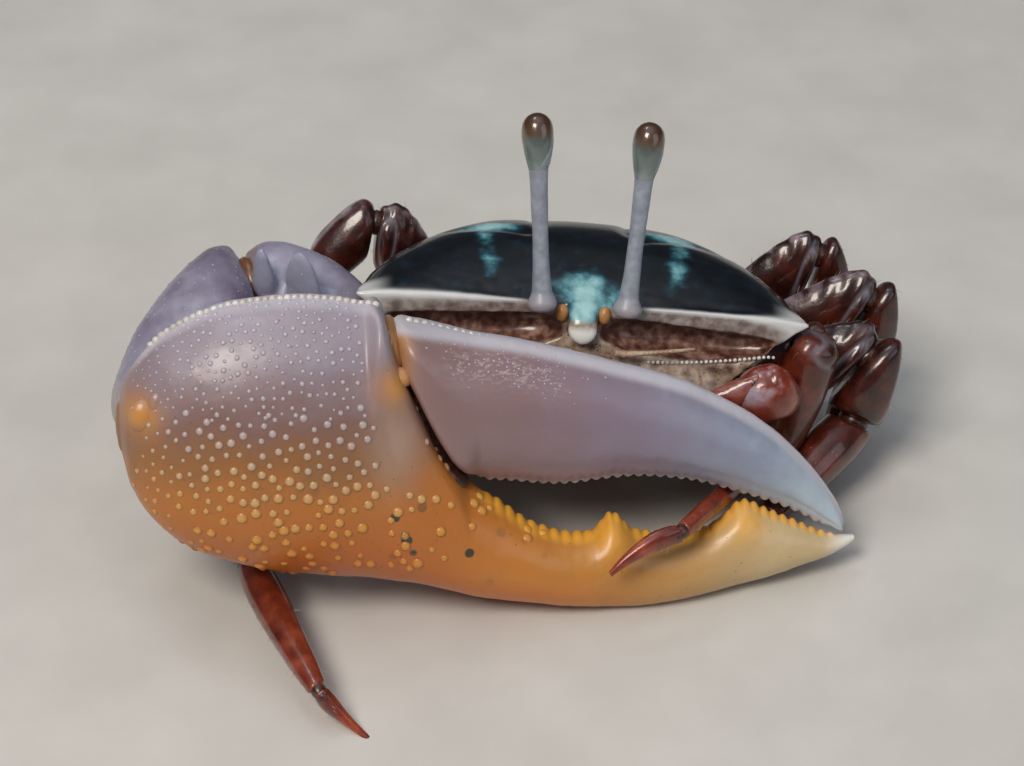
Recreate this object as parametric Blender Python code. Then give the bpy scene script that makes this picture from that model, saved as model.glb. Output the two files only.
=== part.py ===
"""A male fiddler crab at life size, crouched with its great claw across its face.

Lengths are millimetres in the code and metres in the scene. +X is to the right of someone
who faces the crab, +Y runs from its face to its tail, and +Z is up, with the floor at z = 0.
The crab's own right side, which carries the great claw, is therefore on -X.
Three empties carry the pieces: the body, pitched up on its haunches, the great claw, and
the stance, in whose frame the legs reach from their hips to the floor.
"""

import math
import random

import bmesh
import bpy
from mathutils import Matrix, Vector
from mathutils.bvhtree import BVHTree

MM = 0.001
GAP = 0.3  # between pieces that touch
HALF_GAP = GAP / 2

# Driving dimensions of the animal
CARAPACE_WIDTH = 30.0  # across the two front corners
CARAPACE_LENGTH = 18.5
BODY_PITCH = 21.0  # degrees, face up
BODY_ROLL = 5.2  # degrees, the crab's left side lower
CORNER_LINE = Vector((0.0, 2.0, 15.44))  # middle of the line between the front corners
FLOOR_SHIFT = Vector((4.573, 2.0463, 0.0))  # puts the middle of the footprint at the origin

# The great claw lies in a plane that leans back over the fingers' tips
CLAW_ORIGIN = Vector((-11.82, -5.57, 15.56))  # at the upper hinge of the movable finger
CLAW_OUTWARD = Vector((0.100, -0.922, 0.373)).normalized()
FINGER_CURL = 0.0016  # the fingers bend inwards by this times the distance squared
SHELL = {}


def material(name, colour, roughness):
    """A plain shell colour, RGB from 0 to 1."""
    if name not in SHELL:
        made = bpy.data.materials.new(name)
        made.use_nodes = True
        shader = made.node_tree.nodes["Principled BSDF"]
        shader.inputs["Base Color"].default_value = (*colour, 1.0)
        shader.inputs["Roughness"].default_value = roughness
        shader.inputs["Metallic"].default_value = 0.0
        SHELL[name] = made
    return SHELL[name]


def back_shell():
    return material("back_shell", (0.010, 0.020, 0.032), 0.15)


def belly_shell():
    return material("belly_shell", (0.36, 0.29, 0.23), 0.45)


def leg_shell():
    return material("leg_shell", (0.16, 0.035, 0.014), 0.25)


def lilac_shell():
    return material("lilac_shell", (0.38, 0.33, 0.41), 0.4)


def amber_shell():
    return material("amber_shell", (0.70, 0.30, 0.05), 0.4)


def stalk_shell():
    return material("stalk_shell", (0.36, 0.35, 0.40), 0.4)


def cornea():
    return material("cornea", (0.12, 0.10, 0.08), 0.2)


def clear_scene():
    for obj in list(bpy.data.objects):
        bpy.data.objects.remove(obj, do_unlink=True)


def empty(name, matrix):
    """A carrier whose children are modelled in its own frame."""
    carrier = bpy.data.objects.new(name, None)
    bpy.context.scene.collection.objects.link(carrier)
    matrix = matrix.copy()
    matrix.translation *= MM
    carrier.matrix_world = matrix
    return carrier


def body_matrix():
    pitch = Matrix.Rotation(math.radians(-BODY_PITCH), 4, "X")
    roll = Matrix.Rotation(math.radians(BODY_ROLL), 4, "Y")
    return Matrix.Translation(CORNER_LINE + FLOOR_SHIFT) @ roll @ pitch


def claw_matrix():
    along = Vector((1, 0, 0))
    along = (along - CLAW_OUTWARD * along.dot(CLAW_OUTWARD)).normalized()
    up = along.cross(CLAW_OUTWARD) * -1
    turn = Matrix((along, up, CLAW_OUTWARD)).transposed().to_4x4()
    return Matrix.Translation(CLAW_ORIGIN + FLOOR_SHIFT) @ turn


def lerp_table(table, at):
    """Reads a table of (position, value, ...) rows at a position, eased between its rows."""
    if at <= table[0][0]:
        return table[0][1:]
    for low, high in zip(table, table[1:]):
        if at <= high[0]:
            share = (at - low[0]) / (high[0] - low[0])
            share = share * share * (3 - 2 * share) * 0.5 + share * 0.5
            return tuple(a + (b - a) * share for a, b in zip(low[1:], high[1:]))
    return table[-1][1:]


def smooth_table(table, at):
    """Reads a table as lerp_table does, along a Catmull-Rom curve through its rows."""
    if at <= table[0][0]:
        return table[0][1:]
    if at >= table[-1][0]:
        return table[-1][1:]
    index = next(i for i in range(len(table) - 1) if at <= table[i + 1][0])
    low, high = table[index], table[index + 1]
    before = table[max(index - 1, 0)]
    after = table[min(index + 2, len(table) - 1)]
    span = high[0] - low[0]
    share = (at - low[0]) / span
    found = []
    for k in range(1, len(low)):
        rise_in = (high[k] - before[k]) / (high[0] - before[0]) * span
        rise_out = (after[k] - low[k]) / (after[0] - low[0]) * span
        found.append(
            (2 * share**3 - 3 * share**2 + 1) * low[k]
            + (share**3 - 2 * share**2 + share) * rise_in
            + (3 * share**2 - 2 * share**3) * high[k]
            + (share**3 - share**2) * rise_out
        )
    return tuple(found)


def power(value, exponent):
    return math.copysign(abs(value) ** exponent, value)


def loft_mesh(name, rings):
    """A closed mesh through rings of points, with its ends capped by fans."""
    mesh = bpy.data.meshes.new(name)
    build = bmesh.new()
    made = [[build.verts.new(point * MM) for point in ring] for ring in rings]
    count = len(rings[0])
    for first, second in zip(made, made[1:]):
        for k in range(count):
            nxt = (k + 1) % count
            build.faces.new((first[k], first[nxt], second[nxt], second[k]))
    for end in (made[0], made[-1]):
        middle = sum((v.co for v in end), Vector()) / count
        tip = build.verts.new(middle)
        for k in range(count):
            build.faces.new((end[k], end[(k + 1) % count], tip))
    bmesh.ops.recalc_face_normals(build, faces=build.faces)
    build.to_mesh(mesh)
    build.free()
    mesh.shade_smooth()
    mesh.set_sharp_from_angle(angle=math.radians(40))
    return mesh


def place(name, mesh, shell, carrier):
    obj = bpy.data.objects.new(name, mesh)
    bpy.context.scene.collection.objects.link(obj)
    obj.parent = carrier
    obj.data.materials.clear()
    obj.data.materials.append(shell)
    return obj


def keep_largest(mesh):
    """Drops every closed surface but the largest."""
    build = bmesh.new()
    build.from_mesh(mesh)
    build.faces.ensure_lookup_table()
    seen, parts = set(), []
    for face in build.faces:
        if face in seen:
            continue
        part, queue = [], [face]
        seen.add(face)
        while queue:
            here = queue.pop()
            part.append(here)
            for edge in here.edges:
                for other in edge.link_faces:
                    if other not in seen:
                        seen.add(other)
                        queue.append(other)
        parts.append(part)
    parts.sort(key=lambda faces: sum(f.calc_area() for f in faces))
    spare = [face for part in parts[:-1] for face in part]
    if spare:
        bmesh.ops.delete(build, geom=spare, context="FACES")
    build.to_mesh(mesh)
    build.free()


def combine(target, others, operation, solver="EXACT"):
    """Joins others to the target, or cuts them from it, and removes them."""
    bpy.context.view_layer.update()
    group = bpy.data.collections.new("joined")
    for other in others:
        for home in list(other.users_collection):
            home.objects.unlink(other)
        group.objects.link(other)
    bpy.context.scene.collection.children.link(group)
    boolean = target.modifiers.new("joined", "BOOLEAN")
    boolean.operation = operation
    boolean.operand_type = "COLLECTION"
    boolean.collection = group
    boolean.solver = solver
    bpy.context.view_layer.update()
    graph = bpy.context.evaluated_depsgraph_get()
    result = bpy.data.meshes.new_from_object(target.evaluated_get(graph))
    target.modifiers.remove(boolean)
    result.materials.clear()
    result.materials.append(target.data.materials[0])
    target.data = result
    keep_largest(result)
    for other in list(group.objects):
        bpy.data.objects.remove(other, do_unlink=True)
    bpy.data.collections.remove(group)
    return target


def oval(count, exponent=2.0):
    """(cosine, sine) pairs round a superellipse."""
    turns = [2 * math.pi * k / count for k in range(count)]
    share = 2.0 / exponent
    return [(power(math.cos(a), share), power(math.sin(a), share)) for a in turns]


def segment_rings(start, end, start_cut, end_cut, broad, profile, sides=12, steps=9,
                  bow=0.0, end_gap=HALF_GAP, start_gap=HALF_GAP, grow=0.0):
    """Rings of one limb segment, mitred to the planes through its two joints.

    broad points to the segment's upper edge. profile rows are (share of the length,
    height above the axis, height below it, half thickness, exponent). Each line along the
    segment runs between the two joint planes, so neighbours meet face to face.
    """
    axis = (end - start).normalized()
    length = (end - start).length
    broad = (broad - axis * broad.dot(axis)).normalized()
    across = axis.cross(broad)
    rings = []
    for step in range(steps + 1):
        share = step / steps
        share = share - 0.09 * math.sin(2 * math.pi * share)  # closer rings at the joints
        above, below, thick, exponent = smooth_table(profile, share)
        middle = broad * (bow * 4 * share * (1 - share))
        ring = []
        for cosine, sine in oval(sides, exponent):
            height = (above if cosine > 0 else below) + grow
            offset = broad * (height * cosine) + across * ((thick + grow) * sine) + middle
            first = (start_gap - offset.dot(start_cut)) / axis.dot(start_cut)
            last = length - (end_gap + offset.dot(end_cut)) / axis.dot(end_cut)
            ring.append(start + offset + axis * (first + (last - first) * share))
        rings.append(ring)
    return rings


def mitre(before, joint, after):
    """Unit normal of the plane that two segments share at a joint, pointing along the limb."""
    return ((joint - before).normalized() + (after - joint).normalized()).normalized()


# Walking leg segments: (share, above, below, half thickness, exponent), for a leg of unit
# size. The meri are broad blades, the feet are slender and end in a point.
MERUS_PROFILE = (
    (0.0, 0.85, 0.85, 0.75, 2.0),
    (0.16, 1.3, 1.35, 0.9, 2.0),
    (0.42, 1.9, 1.75, 1.1, 2.0),
    (0.8, 1.7, 1.7, 1.15, 2.0),
    (1.0, 0.6, 1.3, 0.95, 2.0),
)
CARPUS_PROFILE = (
    (0.0, 0.6, 1.2, 0.95, 2.0),
    (0.25, 1.45, 1.3, 1.25, 2.0),
    (0.75, 1.5, 1.3, 1.35, 2.0),
    (1.0, 1.15, 1.15, 1.1, 2.0),
)
FOLDED_CARPUS_PROFILE = (
    (0.0, 0.9, 0.9, 0.75, 2.0),
    (0.12, 1.35, 1.4, 1.15, 2.0),
    (0.45, 1.5, 1.5, 1.3, 2.0),
    (1.0, 1.15, 1.15, 1.1, 2.0),
)
PROPODUS_PROFILE = (
    (0.0, 1.12, 1.12, 1.05, 2.0),
    (0.25, 1.3, 1.25, 1.15, 2.0),
    (0.75, 0.95, 0.95, 0.85, 2.0),
    (1.0, 0.68, 0.68, 0.6, 2.0),
)
SLENDER_PROPODUS = (
    (0.0, 1.12, 1.12, 1.05, 2.0),
    (0.2, 1.15, 1.1, 1.05, 2.0),
    (0.5, 0.78, 0.78, 0.75, 2.0),
    (1.0, 0.66, 0.66, 0.6, 2.0),
)
DACTYL_PROFILE = (
    (0.0, 0.64, 0.64, 0.52, 2.0),
    (0.25, 0.7, 0.7, 0.56, 2.0),
    (0.7, 0.45, 0.45, 0.38, 2.0),
    (1.0, 0.22, 0.22, 0.2, 2.0),
)


def scaled(profile, size):
    return tuple((s, a * size, b * size, t * size, e) for s, a, b, t, e in profile)


# Each leg's joints: knee, ankle, heel and tip. The hip comes from the body. The first left
# leg reaches through the gape of the great claw and its tip hangs before the fixed finger.
LEGS = {
    "left_1": ((15.2, 4.4, 12.0), (13.1, 0.4, 4.3), (6.2, -10.1, 6.5), (1.6, -12.4, 4.9)),
    "left_2": ((19.4, 4.4, 9.7), (18.8, 3.2, 5.0), (12.4, -3.6, 1.9), (7.4, -6.1, 0.0)),
    "left_3": ((20.0, 9.2, 10.95), (20.3, 8.7, 6.6), (17.2, 3.8, 1.8), (12.3, 1.6, 0.0)),
    "left_4": ((16.8, 13.2, 11.9), (18.0, 13.0, 8.1), (17.3, 11.6, 1.9), (15.0, 9.4, 0.0)),
    "right_1": ((-20.2, -3.4, 4.7), (-21.7, -9.2, 2.7), (-16.7, -20.5, 2.5), (-13.9, -21.9, 0.0)),
    "right_2": ((-18.9, 2.2, 8.6), (-23.6, 1.3, 6.4), (-25.4, -2.0, 1.9), (-20.8, -3.6, 0.0)),
    "right_3": ((-18.0, 8.0, 11.0), (-22.6, 7.6, 8.4), (-25.8, 5.6, 1.9), (-22.9, 2.3, 0.0)),
    "right_4": ((-14.2, 13.4, 14.5), (-18.0, 12.2, 11.6), (-22.3, 12.2, 5.2), (-22.5, 11.2, 0.0)),
}
# A leg that is folded flat has its carpus beside the merus's end: where that carpus starts
FOLDED = {"left_1": (15.9, 2.15, 13.3)}
CLEAR_MERI = ("right_1", "right_2", "right_3")  # thighs that pass well under the carapace
# Hips in the body's frame for the crab's left side: end of the coxa, and its direction
HIPS = (
    ((8.9, 2.8, -7.5), (0.85, -0.45, -0.10)),
    ((9.5, 6.4, -7.5), (0.98, -0.12, -0.10)),
    ((9.3, 10.0, -7.3), (0.97, 0.15, -0.10)),
    ((8.2, 13.2, -6.9), (0.88, 0.42, -0.05)),
)
LEG_SIZES = (0.96, 1.05, 1.0, 0.9)
COXA_RADIUS = 1.15
COXA_ROOT = 4.2  # how far the coxa's root lies behind the hip, inside the thorax
MAJOR_HIP = ((-8.6, -0.7, -7.3), (-0.93, -0.35, 0.15))
MINOR_HIP = ((7.0, -0.5, -7.9), (0.9, -0.4, 0.1))
MAJOR_COXA_RADIUS = 1.6
MINOR_COXA_RADIUS = 1.05


def floor_point(place_at):
    """A point of the stance, from the frame whose origin is under the face."""
    return Vector(place_at) + FLOOR_SHIFT


def hip_of(point, direction, mirrored):
    """A hip's place and direction in the stance's frame."""
    side = -1 if mirrored else 1
    matrix = body_matrix()
    here = matrix @ Vector((point[0] * side, point[1], point[2]))
    way = matrix.to_3x3() @ Vector((direction[0] * side, direction[1], direction[2]))
    return here, way.normalized()


def leg_joints(name):
    """The leg's five joints from hip to tip, and its coxa's direction."""
    side, number = name.split("_")
    hip, way = hip_of(*HIPS[int(number) - 1], mirrored=side == "right")
    return [hip] + [floor_point(p) for p in LEGS[name]], way


def make_leg(name, carrier, body):
    """Merus, carpus, propodus and dactyl of one walking leg."""
    joints, coxa_way = leg_joints(name)
    hip, knee, ankle, heel, tip = joints
    size = LEG_SIZES[int(name[-1]) - 1]
    outer = ((knee - hip).normalized() - (ankle - knee).normalized()).normalized()
    on_floor = tip.z < 0.01
    tip_cut = Vector((0, 0, -1)) if on_floor else (tip - heel).normalized()
    cuts = [
        (coxa_way + (knee - hip).normalized()).normalized(),
        mitre(hip, knee, ankle),
        mitre(knee, ankle, heel),
        mitre(ankle, heel, tip),
        tip_cut,
    ]
    parts = (
        ("merus", MERUS_PROFILE, 10, 6, 0.15),
        ("carpus", CARPUS_PROFILE, 8, 4, 0.1),
        ("propodus", PROPODUS_PROFILE, 8, 5, 0.1),
        ("dactyl", DACTYL_PROFILE, 6, 5, 0.45),
    )
    ends = [(joints[k], joints[k + 1], cuts[k], cuts[k + 1]) for k in range(4)]
    if name in FOLDED:
        start = floor_point(FOLDED[name])
        ends[0] = (hip, knee, cuts[0], (knee - hip).normalized())
        ends[1] = (start, ankle, (ankle - start).normalized(), mitre(start, ankle, heel))
        ends[2] = (ankle, heel, mitre(start, ankle, heel), cuts[3])
    for k, (part, profile, sides, steps, bow) in enumerate(parts):
        if (name, part) == ("left_1", "propodus"):
            profile = SLENDER_PROPODUS
        if part == "carpus" and name in FOLDED:
            profile = FOLDED_CARPUS_PROFILE
        rings = segment_rings(
            *ends[k], outer,
            scaled(profile, size), sides, steps, bow,
            end_gap=0.0 if part == "dactyl" else HALF_GAP,
        )
        label = f"leg_{name}_{part}"
        made = place(label, loft_mesh(label, rings), leg_shell(), carrier)
        if part == "merus" and name not in CLEAR_MERI:
            combine(made, [carapace_room(body)], "DIFFERENCE")


# The carapace's sections from front to back, in the body's frame:
# (y, half width, height of the side margin, height of the middle, half width of the lower
# edge, height of the lower edge, overhang of the side margin)
CARAPACE_SECTIONS = (
    (-0.35, 15.0, 0.0, 0.35, 9.4, -5.3, 1.2),
    (0.6, 14.95, 0.0, 1.1, 9.8, -5.4, 1.3),
    (2.2, 14.6, -0.05, 2.2, 10.2, -5.4, 1.4),
    (4.5, 14.2, -0.15, 3.35, 10.5, -5.4, 1.4),
    (7.0, 13.4, -0.55, 3.8, 10.4, -5.4, 1.2),
    (9.5, 12.2, -1.1, 3.55, 10.0, -5.4, 1.0),
    (12.0, 10.8, -1.9, 2.6, 9.2, -5.3, 0.85),
    (14.5, 9.2, -2.9, 1.1, 8.1, -5.2, 0.8),
    (16.8, 7.9, -3.6, -0.9, 7.2, -5.0, 0.8),
    (18.15, 7.3, -3.9, -2.6, 6.7, -4.9, 0.8),
)
CARAPACE_STATIONS = (
    -0.35, 0.1, 0.8, 1.8, 3.2, 5.0, 7.0, 9.0, 11.0, 13.0, 14.8, 16.4, 17.5, 18.15
)
BACK_BEND = 3.1  # exponents of the back's arch from side to side
BACK_FALL = 0.7
FACE_BULGE = 0.9  # the cheeks under the orbits stand forward by this
FACE_BULGE_TOP = -3.3


def face_forward(x, z):
    """How far the front face stands forward of its section, in the body's frame."""
    depth = min(max((FACE_BULGE_TOP - z) / 1.4, 0.0), 1.0)
    fade = min(max((11.0 - abs(x)) / 3.0, 0.0), 1.0)
    return FACE_BULGE * depth * fade


def carapace_ring(y, back_points, side_points, bottom_points, grow=0.0):
    half, margin, crown, lower, floor, overhang = smooth_table(CARAPACE_SECTIONS, y)
    half, crown, lower, floor = half + grow, crown + grow, lower + grow, floor - grow
    right = []
    for k in range(back_points):
        s = math.sin(math.pi / 2 * k / back_points)
        z = margin + (crown - margin) * (1 - s**BACK_BEND) ** BACK_FALL
        right.append((half * s, z))
    for k in range(side_points + 1):
        t = k / side_points
        x = lower + (half - lower) * (1 - t) ** overhang
        right.append((x, margin + (floor - margin) * t))
    for k in range(1, bottom_points):
        right.append((lower * (1 - k / bottom_points), floor))
    right.append((0.0, floor))
    left = [(-x, z) for x, z in reversed(right[1:-1])]
    forward = max(0.0, 1.0 - (y - CARAPACE_SECTIONS[0][0]) / 2.0)
    return [Vector((x, y - face_forward(x, z) * forward, z)) for x, z in right + left]


def make_carapace(carrier):
    rings = [carapace_ring(y, 9, 5, 3) for y in CARAPACE_STATIONS]
    shell = place("carapace", loft_mesh("carapace", rings), back_shell(), carrier)
    orbits = [orbit_cutter(side, carrier) for side in (-1, 1)]
    combine(shell, orbits, "DIFFERENCE")
    ridges = [orbit_ridge(side, carrier) for side in (-1, 1)]
    combine(shell, [front_lobe(carrier)] + ridges, "UNION")
    return shell


CARAPACE_GROWTH = 0.45  # leaves GAP around the carapace, also where its sides slope


def carapace_room(carrier):
    """The carapace's plain outline with the gap around it, to trim the limbs against it."""
    rings = [carapace_ring(y, 9, 5, 3, CARAPACE_GROWTH) for y in CARAPACE_STATIONS]
    for ring, shift in ((rings[0], -CARAPACE_GROWTH), (rings[-1], CARAPACE_GROWTH)):
        for point in ring:
            point.y += shift
    return place("room", loft_mesh("room", rings), back_shell(), carrier)


# The orbit is a long gutter that holds the folded eyestalk:
# (x, height of its middle, half height, depth)
ORBIT_SECTIONS = (
    (1.55, -1.35, 0.75, 0.9),
    (3.2, -1.55, 1.15, 1.7),
    (6.5, -1.75, 1.2, 1.7),
    (10.0, -1.85, 1.05, 1.4),
    (12.6, -1.75, 0.6, 0.9),
)
ORBIT_REACH = 2.5  # how far the cutter starts ahead of the face


def orbit_cutter(side, carrier):
    rings = []
    for x, middle, half, deep in ORBIT_SECTIONS:
        y = CARAPACE_SECTIONS[0][0]
        ring = []
        for cosine, sine in oval(10, 2.4):
            reach = deep if cosine > 0 else ORBIT_REACH
            ring.append(Vector((side * x, y + reach * cosine, middle + half * sine)))
        rings.append(ring)
    return place("orbit", loft_mesh("orbit", rings), belly_shell(), carrier)


# The toothed lower edge of the orbit
RIDGE_START = 2.6
RIDGE_END = 11.9
RIDGE_HEIGHT = -3.3
RIDGE_TEETH = 12
RIDGE_RADIUS = 0.34


def orbit_ridge(side, carrier):
    """A low ridge of beads along the lower edge of the orbit."""
    rings = []
    steps = RIDGE_TEETH * 2
    for k in range(steps + 1):
        share = k / steps
        x = RIDGE_START + (RIDGE_END - RIDGE_START) * share
        z = RIDGE_HEIGHT + 0.9 * share**2
        y = CARAPACE_SECTIONS[0][0] + 0.02 + 0.25 * share**2
        radius = RIDGE_RADIUS * (1.0 if k % 2 else 0.72)
        ring = [
            Vector((side * x, y + radius * c, z + radius * s)) for c, s in oval(6)
        ]
        rings.append(ring)
    return place("ridge", loft_mesh("ridge", rings), belly_shell(), carrier)


# The narrow front between the eyestalks bends down over the face like a tongue:
# (y, z, half width, half thickness) along its middle
FRONT_PATH = (
    (3.0, 1.6, 2.6, 0.9),
    (1.2, 0.95, 1.9, 0.75),
    (-0.1, 0.2, 1.25, 0.6),
    (-0.9, -0.55, 0.95, 0.5),
    (-1.15, -1.25, 0.95, 0.48),
    (-1.15, -1.75, 0.75, 0.42),
    (-1.1, -2.0, 0.35, 0.28),
)


def front_lobe(carrier):
    rings = path_rings(FRONT_PATH, 10, 2.3)
    return place("front", loft_mesh("front", rings), back_shell(), carrier)


def path_rings(path, sides, exponent):
    """Rings of a strap whose middle follows (y, z) and whose width lies along X."""
    rings = []
    for k, (y, z, half, thick) in enumerate(path):
        before = Vector(path[max(k - 1, 0)][:2])
        after = Vector(path[min(k + 1, len(path) - 1)][:2])
        along = (after - before).normalized()
        normal = Vector((0, -along.y, along.x))
        middle = Vector((0, y, z))
        rings.append([
            middle + Vector((half * c, 0, 0)) + normal * (thick * s)
            for c, s in oval(sides, exponent)
        ])
    return rings


# The thorax under the carapace: (y, half width at the top, half width at the bottom,
# top height, bottom height)
THORAX_SECTIONS = (
    (-0.6, 6.4, 4.2, -5.65, -8.3),
    (1.0, 7.3, 5.2, -5.75, -9.0),
    (4.0, 7.7, 5.8, -5.75, -9.2),
    (8.0, 7.8, 6.0, -5.75, -9.2),
    (12.0, 7.2, 5.4, -5.65, -8.9),
    (15.0, 6.4, 4.7, -5.5, -8.2),
    (17.3, 5.6, 3.9, -5.3, -6.9),
)


def thorax_bottom(y):
    return smooth_table(THORAX_SECTIONS, y)[3]


def make_thorax(carrier):
    """The plated underside that carries the hips."""
    rings = []
    for y in (-0.6, 0.6, 2.2, 4.4, 6.6, 8.8, 11.0, 13.2, 15.2, 17.3):
        top_half, low_half, top, bottom = smooth_table(THORAX_SECTIONS, y)
        groove = 0.22  # the plates meet in a shallow trough along the middle
        right = [
            (0.0, top), (top_half * 0.5, top), (top_half, top),
            (top_half - 0.1, top * 0.62 + bottom * 0.38),
            (low_half + 0.9, top * 0.25 + bottom * 0.75),
            (low_half, bottom), (low_half * 0.5, bottom), (0.0, bottom + groove),
        ]
        left = [(-x, z) for x, z in reversed(right[1:-1])]
        rings.append([Vector((x, y, z)) for x, z in right + left])
    thorax = place("thorax", loft_mesh("thorax", rings), belly_shell(), carrier)
    combine(thorax, hips(carrier), "UNION")
    return thorax


def hips(carrier):
    """The coxae, from inside the thorax to the plane where each limb begins."""
    found = []
    world_to_body = body_matrix().inverted()
    for name in LEGS:
        joints, way = leg_joints(name)
        cut = (way + (joints[1] - joints[0]).normalized()).normalized()
        radius = COXA_RADIUS * LEG_SIZES[int(name[-1]) - 1]
        found.append(coxa(joints[0], way, cut, radius, world_to_body, carrier))
    for (point, way), radius, elbow in (
        (MAJOR_HIP, MAJOR_COXA_RADIUS, MAJOR_ARM[0]),
        (MINOR_HIP, MINOR_COXA_RADIUS, MINOR_ARM[0]),
    ):
        hip, way = hip_of(point, way, mirrored=False)
        cut = (way + (floor_point(elbow) - hip).normalized()).normalized()
        found.append(coxa(hip, way, cut, radius, world_to_body, carrier))
    return found


def coxa(hip, way, cut, radius, world_to_body, carrier):
    up = Vector((0, 0, 1))
    profile = (
        (0.0, radius * 0.9, radius * 0.9, radius * 0.9, 2.0),
        (0.6, radius * 1.1, radius * 1.1, radius * 1.1, 2.0),
        (1.0, radius * 0.92, radius * 0.92, radius * 0.85, 2.0),
    )
    rings = segment_rings(hip - way * COXA_ROOT, hip, way, cut, up, profile, 8, 4)
    rings = [[world_to_body @ point for point in ring] for ring in rings]
    return place("coxa", loft_mesh("coxa", rings), belly_shell(), carrier)


# The narrow abdomen of a male, folded under the thorax: (y, half width), from its base at
# the back to its tip
ABDOMEN_WIDTHS = (
    (18.3, 2.9), (17.2, 3.0), (15.6, 2.9), (13.6, 2.5), (11.6, 2.2), (9.6, 1.95),
    (7.6, 1.7), (5.8, 1.35), (4.6, 0.7),
)
ABDOMEN_THICKNESS = 0.8
ABDOMEN_BASE_HEIGHT = -5.65  # just under the carapace's rear edge


def make_abdomen(carrier):
    """A jointed strap that hugs the thorax from the rear edge forwards."""
    path = []
    lift = GAP + ABDOMEN_THICKNESS / 2 + 0.05
    for y, half in ABDOMEN_WIDTHS:
        if y > 17.8:
            path.append((y, ABDOMEN_BASE_HEIGHT, half, ABDOMEN_THICKNESS / 2))
            continue
        bottom = thorax_bottom(y)
        slope = (thorax_bottom(y + 0.3) - thorax_bottom(y - 0.3)) / 0.6
        path.append((y + lift * slope * 0.6, bottom - lift, half, ABDOMEN_THICKNESS / 2))
    path.insert(1, (18.45, -6.6, 2.95, ABDOMEN_THICKNESS / 2))
    detailed = []
    for first, second in zip(path, path[1:]):
        detailed.append(first)
        joint = [a + (b - a) * 0.86 for a, b in zip(first, second)]
        notch = [a + (b - a) * 0.93 for a, b in zip(first, second)]
        detailed.append(tuple(joint))
        detailed.append((notch[0], notch[1], notch[2] * 0.93, notch[3] * 0.8))
    detailed.append(path[-1])
    rings = path_rings(detailed, 8, 2.8)
    place("abdomen", loft_mesh("abdomen", rings), belly_shell(), carrier)


# One outer mouthpart as an outline in the face's plane, (x, z), for the crab's left side
MOUTH_OUTLINE = (
    (0.15, -4.3), (1.6, -4.0), (3.1, -4.35), (4.0, -5.3), (4.05, -6.6), (3.7, -7.9),
    (2.7, -8.9), (1.0, -9.2), (0.15, -8.9), (0.15, -6.6),
)
MOUTH_THICKNESS = 0.75
MOUTH_FRONT = -2.6  # y of the outer face in the middle


def make_mouthpart(name, side, carrier):
    """A crowned plate over the mouth, with a step where its two joints meet."""
    centre = Vector((1.9, 0, -6.6))
    rings = []
    for scale, y in ((1.0, 0.75), (1.0, 0.25), (0.86, 0.02), (0.5, -0.12)):
        ring = []
        for x, z in MOUTH_OUTLINE:
            px = centre.x + (x - centre.x) * scale
            pz = centre.z + (z - centre.z) * scale
            lean = 0.10 * (pz - centre.z) - 0.05 * (pz - centre.z) ** 2 * 0.3
            ring.append(Vector((side * px, MOUTH_FRONT + y + 0.012 * px * px - lean * 0.3, pz)))
        rings.append(ring)
    place(name, loft_mesh(name, rings), belly_shell(), carrier)


# Eyestalks: the feet in the body's frame, just ahead of the orbits' inner ends, and the
# tops in the stance's frame
EYE_FEET = {"right": Vector((-2.75, -1.5, -0.15)), "left": Vector((2.75, -1.5, -0.15))}
EYE_TOPS = {"right": (-3.1, 6.0, 28.1), "left": (4.25, 5.8, 27.5)}
STALK_PROFILE = (
    (0.0, 0.72, 0.72, 0.72, 2.0),
    (0.06, 0.86, 0.86, 0.86, 2.0),
    (0.14, 0.62, 0.62, 0.62, 2.0),
    (0.5, 0.5, 0.5, 0.5, 2.0),
    (0.85, 0.56, 0.56, 0.56, 2.0),
    (1.0, 0.62, 0.62, 0.62, 2.0),
)
EYE_PROFILE = (
    (0.0, 0.64, 0.64, 0.64, 2.0),
    (0.3, 0.9, 0.9, 0.9, 2.0),
    (0.6, 1.04, 1.04, 1.04, 2.0),
    (0.82, 0.94, 0.94, 0.94, 2.0),
    (0.94, 0.62, 0.62, 0.62, 2.0),
    (1.0, 0.22, 0.22, 0.22, 2.0),
)
EYE_LENGTH = 3.7


def make_eye(name, carrier):
    foot = body_matrix() @ EYE_FEET[name]
    top = floor_point(EYE_TOPS[name])
    way = (top - foot).normalized()
    neck = top - way * EYE_LENGTH
    side = Vector((1, 0, 0))
    rings = segment_rings(foot, neck, way, way, side, STALK_PROFILE, 10, 10)
    label = f"eyestalk_{name}"
    place(label, loft_mesh(label, rings), stalk_shell(), carrier)
    rings = segment_rings(neck, top, way, way, side, EYE_PROFILE, 12, 9, end_gap=0.0)
    label = f"eye_{name}"
    place(label, loft_mesh(label, rings), cornea(), carrier)


# Antennae lie out along the floor of the orbit: (x, y, z, radius) for the crab's left side
ANTENNA_PATH = (
    (2.35, -1.15, -2.55, 0.42),
    (3.1, -1.35, -2.5, 0.4),
    (4.1, -1.5, -2.35, 0.3),
    (5.6, -1.6, -2.1, 0.25),
    (7.4, -1.55, -1.8, 0.22),
)


def make_antenna(name, side, carrier):
    rings = []
    for x, y, z, radius in ANTENNA_PATH:
        rings.append([Vector((side * x, y + radius * c, z + radius * s)) for c, s in oval(6)])
    place(name, loft_mesh(name, rings), belly_shell(), carrier)


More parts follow.
